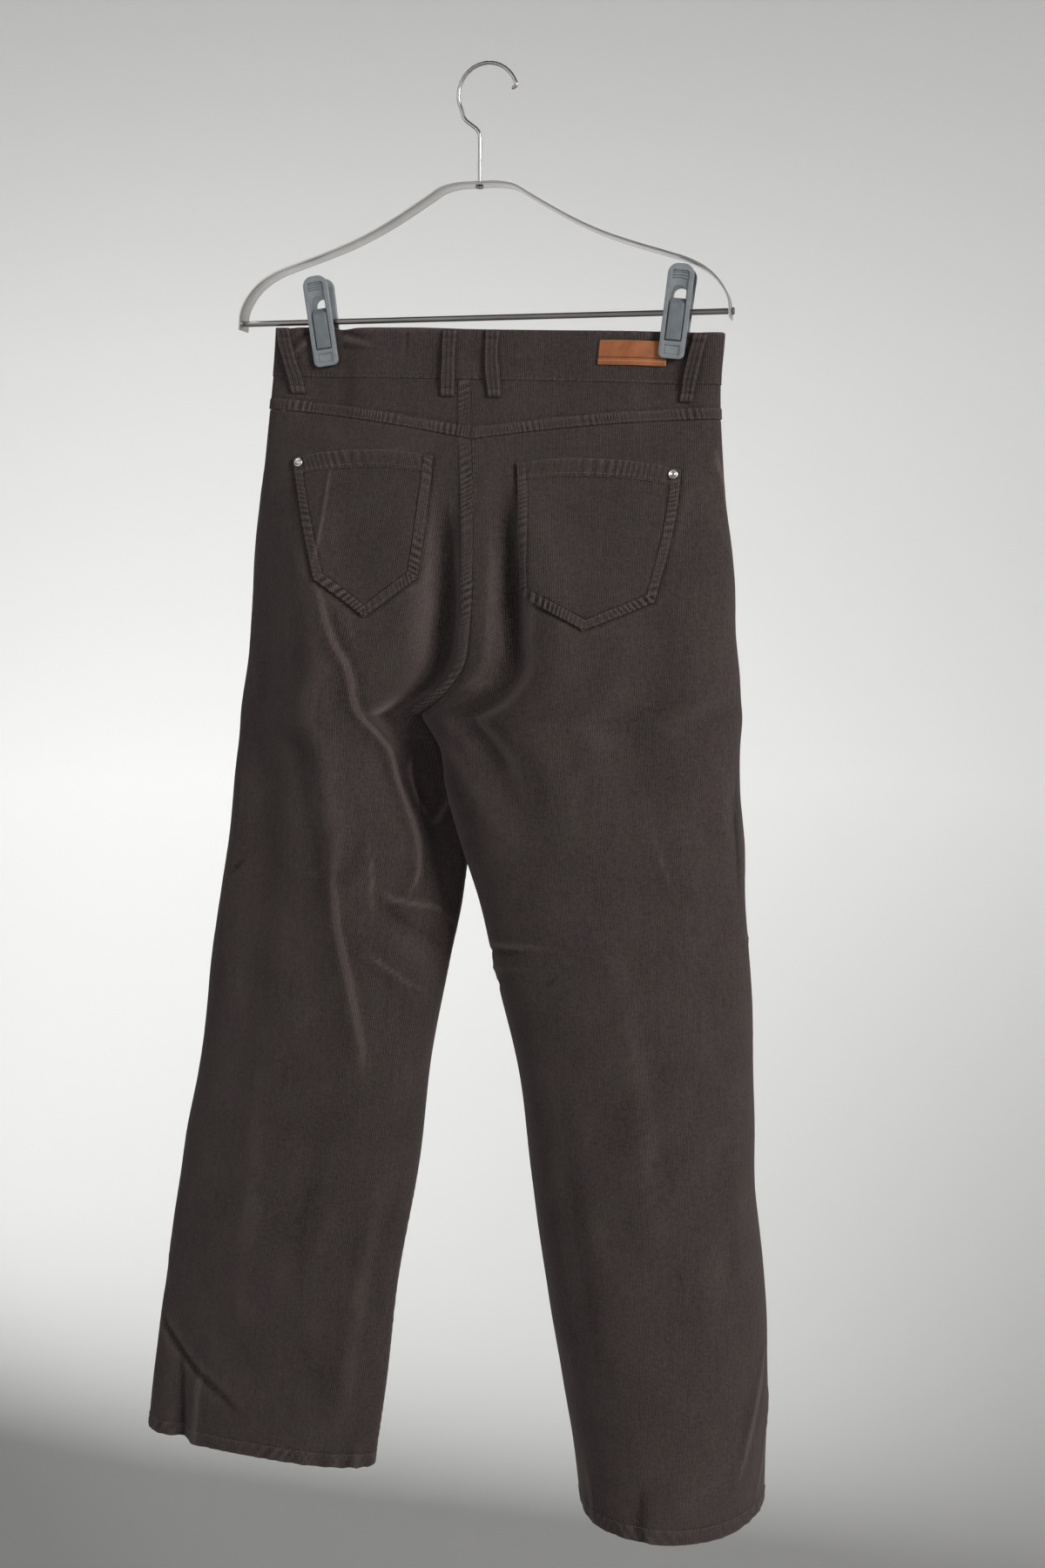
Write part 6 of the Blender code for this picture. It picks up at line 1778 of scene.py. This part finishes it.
def make_looks():
    """every material, by what it is put on"""
    return {
        "corduroy": corduroy_look(),
        "leather": leather_look(),
        "thread": thread_look(),
        "rivet": steel_look("rivet_silver", (0.72, 0.69, 0.67), 0.22, (300.0, 300.0, 300.0)),
        "button": plastic_look("button_brown", (0.050, 0.040, 0.035), 0.36),
        "steel_wire": steel_look("steel_drawn", (0.52, 0.51, 0.50), 0.24, (900.0, 900.0, 40.0)),
        "steel_strap": steel_look("steel_brushed", (0.50, 0.49, 0.475), 0.30, (14.0, 1500.0, 14.0)),
        "steel_bar": steel_look("steel_bar", (0.36, 0.345, 0.335), 0.32, (12.0, 1200.0, 1200.0)),
        "clip": plastic_look("clip_grey", (0.205, 0.225, 0.240), 0.42),
        "spring": plastic_look("spring_grey", (0.150, 0.168, 0.184), 0.50),
    }


# ================================================================ stage, lights and camera
# a round room in metres: its floor, its radius, the curve from floor to wall, and the wall's top
FLOOR_Z = -2.05
ROOM_RADIUS, COVE, WALL_TOP, ROOM_SIDES = 3.5, 2.2, 2.6, 96
# the floor's colour is darker than the wall's: painted shade towards the bottom
FLOOR_PAINTED_SHADE_COLOUR, WALL_COLOUR = (0.42, 0.42, 0.415), (0.66, 0.66, 0.655)
PAINTED_SHADE_TOP = -1.0           # the painted shade, darkest on the floor, has faded into the wall's colour at this height


def make_stage():
    """a pale floor that curves up into a round pale wall, so that every view has a plain background; its
    colour darkens towards the floor with painted shade
    """
    flat, angle = ROOM_RADIUS - COVE, np.linspace(0.0, 0.5 * math.pi, 16)[1:]
    profile = [(r, FLOOR_Z) for r in np.linspace(0.0, flat, 6)]
    profile += [(flat + COVE * math.sin(a), FLOOR_Z + COVE * (1 - math.cos(a))) for a in angle]
    profile += [(ROOM_RADIUS, z) for z in np.linspace(FLOOR_Z + COVE, WALL_TOP, 6)[1:]]
    around = np.linspace(0.0, TAU, ROOM_SIDES, endpoint=False)
    points = []
    for radius, z in profile:
        points += ring_points(radius / MM, z / MM, around)
    look = Look("backdrop_pale", (0.62, 0.62, 0.615), 0.95)
    height = look.part(look.place("object"), 2)
    # painted shade: the colour darkens from the wall down to the floor
    look.colour(look.mix(look.spread(height, FLOOR_Z, PAINTED_SHADE_TOP), FLOOR_PAINTED_SHADE_COLOUR, WALL_COLOUR))
    room = mesh_object("backdrop", points, ring_faces(len(profile), ROOM_SIDES), look.made, 80.0)


# place and aim in metres, size in metres, power in watts
LIGHT_COLUMNS = "name place aim size_x size_y power colour"
LIGHTS = [
    ("window_light", (2.8, -1.75, 0.60), (0.0, 0.0, -0.75), 1.1, 1.5, 117.0, (1.0, 0.985, 0.965)),
    ("fill_light", (-1.6, -2.4, 0.4), (0.0, 0.0, -0.7), 1.8, 1.8, 15.0, (0.96, 0.98, 1.0)),
    ("wall_light", (-0.7, 1.3, -0.75), (-0.75, 3.5, -0.95), 2.2, 1.8, 41.0, (1.0, 1.0, 1.0)),
]
WORLD_COLOUR, WORLD_STRENGTH = (0.93, 0.95, 1.0), 0.075


def make_lights():
    """area lights that the camera doesn't see, and a weak even light from all sides"""
    for row in LIGHTS:
        light = cells(LIGHT_COLUMNS, row)
        data = bpy.data.lights.new(light["name"], "AREA")
        data.shape = "RECTANGLE"
        data.size, data.size_y = light["size_x"], light["size_y"]
        data.energy = light["power"]
        data.color = light["colour"]
        made = linked(light["name"], data)
        made.location = light["place"]
        ahead = Vector(light["aim"]) - Vector(light["place"])
        made.rotation_euler = ahead.to_track_quat("-Z", "Y").to_euler()
        made.visible_camera = False
    world = bpy.data.worlds.new("soft_room")
    world.use_nodes = True
    background = world.node_tree.nodes["Background"]
    background.inputs["Color"].default_value = (*WORLD_COLOUR, 1.0)
    background.inputs["Strength"].default_value = WORLD_STRENGTH
    bpy.context.scene.world = world


def make_camera():
    """the camera that took the photograph"""
    yaw, down, roll = (math.radians(v) for v in (CAMERA_YAW, CAMERA_DOWN, CAMERA_ROLL))
    ahead = Vector((-math.sin(yaw) * math.cos(down), math.cos(yaw) * math.cos(down), -math.sin(down)))
    right = Vector((math.cos(yaw), math.sin(yaw), 0.0))
    up = right.cross(ahead)
    turned_right = right * math.cos(roll) + up * math.sin(roll)
    turned_up = up * math.cos(roll) - right * math.sin(roll)
    data = bpy.data.cameras.new("photo_camera")
    data.lens, data.sensor_width, data.sensor_fit = CAMERA_LENS, 36.0, "AUTO"
    camera = linked("photo_camera", data)
    axes = Matrix((turned_right, turned_up, -ahead)).transposed()
    camera.matrix_world = Matrix.Translation(Vector(CAMERA_PLACE)) @ axes.to_4x4()
    bpy.context.scene.camera = camera


# ================================================================ all of it
def main():
    """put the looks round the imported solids"""
    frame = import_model()
    make_camera()
    for old in [o for o in bpy.data.objects if o.name in ("Cube", "Light", "Camera")]:
        bpy.data.objects.remove(old)
    looks = make_looks()
    halves = make_halves()
    make_leg_panels(halves, looks)
    make_yokes(halves, looks)
    make_waistband(halves, looks)
    make_pockets(halves, looks)
    make_belt_loops(halves, looks)
    make_fly(halves, looks)
    make_leather_patch(halves, looks)
    make_rivets(halves, looks)
    make_button(halves, looks)
    make_stitches(halves, looks)
    make_hook(looks)
    make_strap(looks)
    make_clips(looks)
    bar = frame["nodes"]["hanger_bar"]
    bar.data.materials.clear()
    bar.data.materials.append(looks["steel_bar"])
    make_stage()
    make_lights()
    bpy.context.scene.view_settings.view_transform = "Standard"


main()
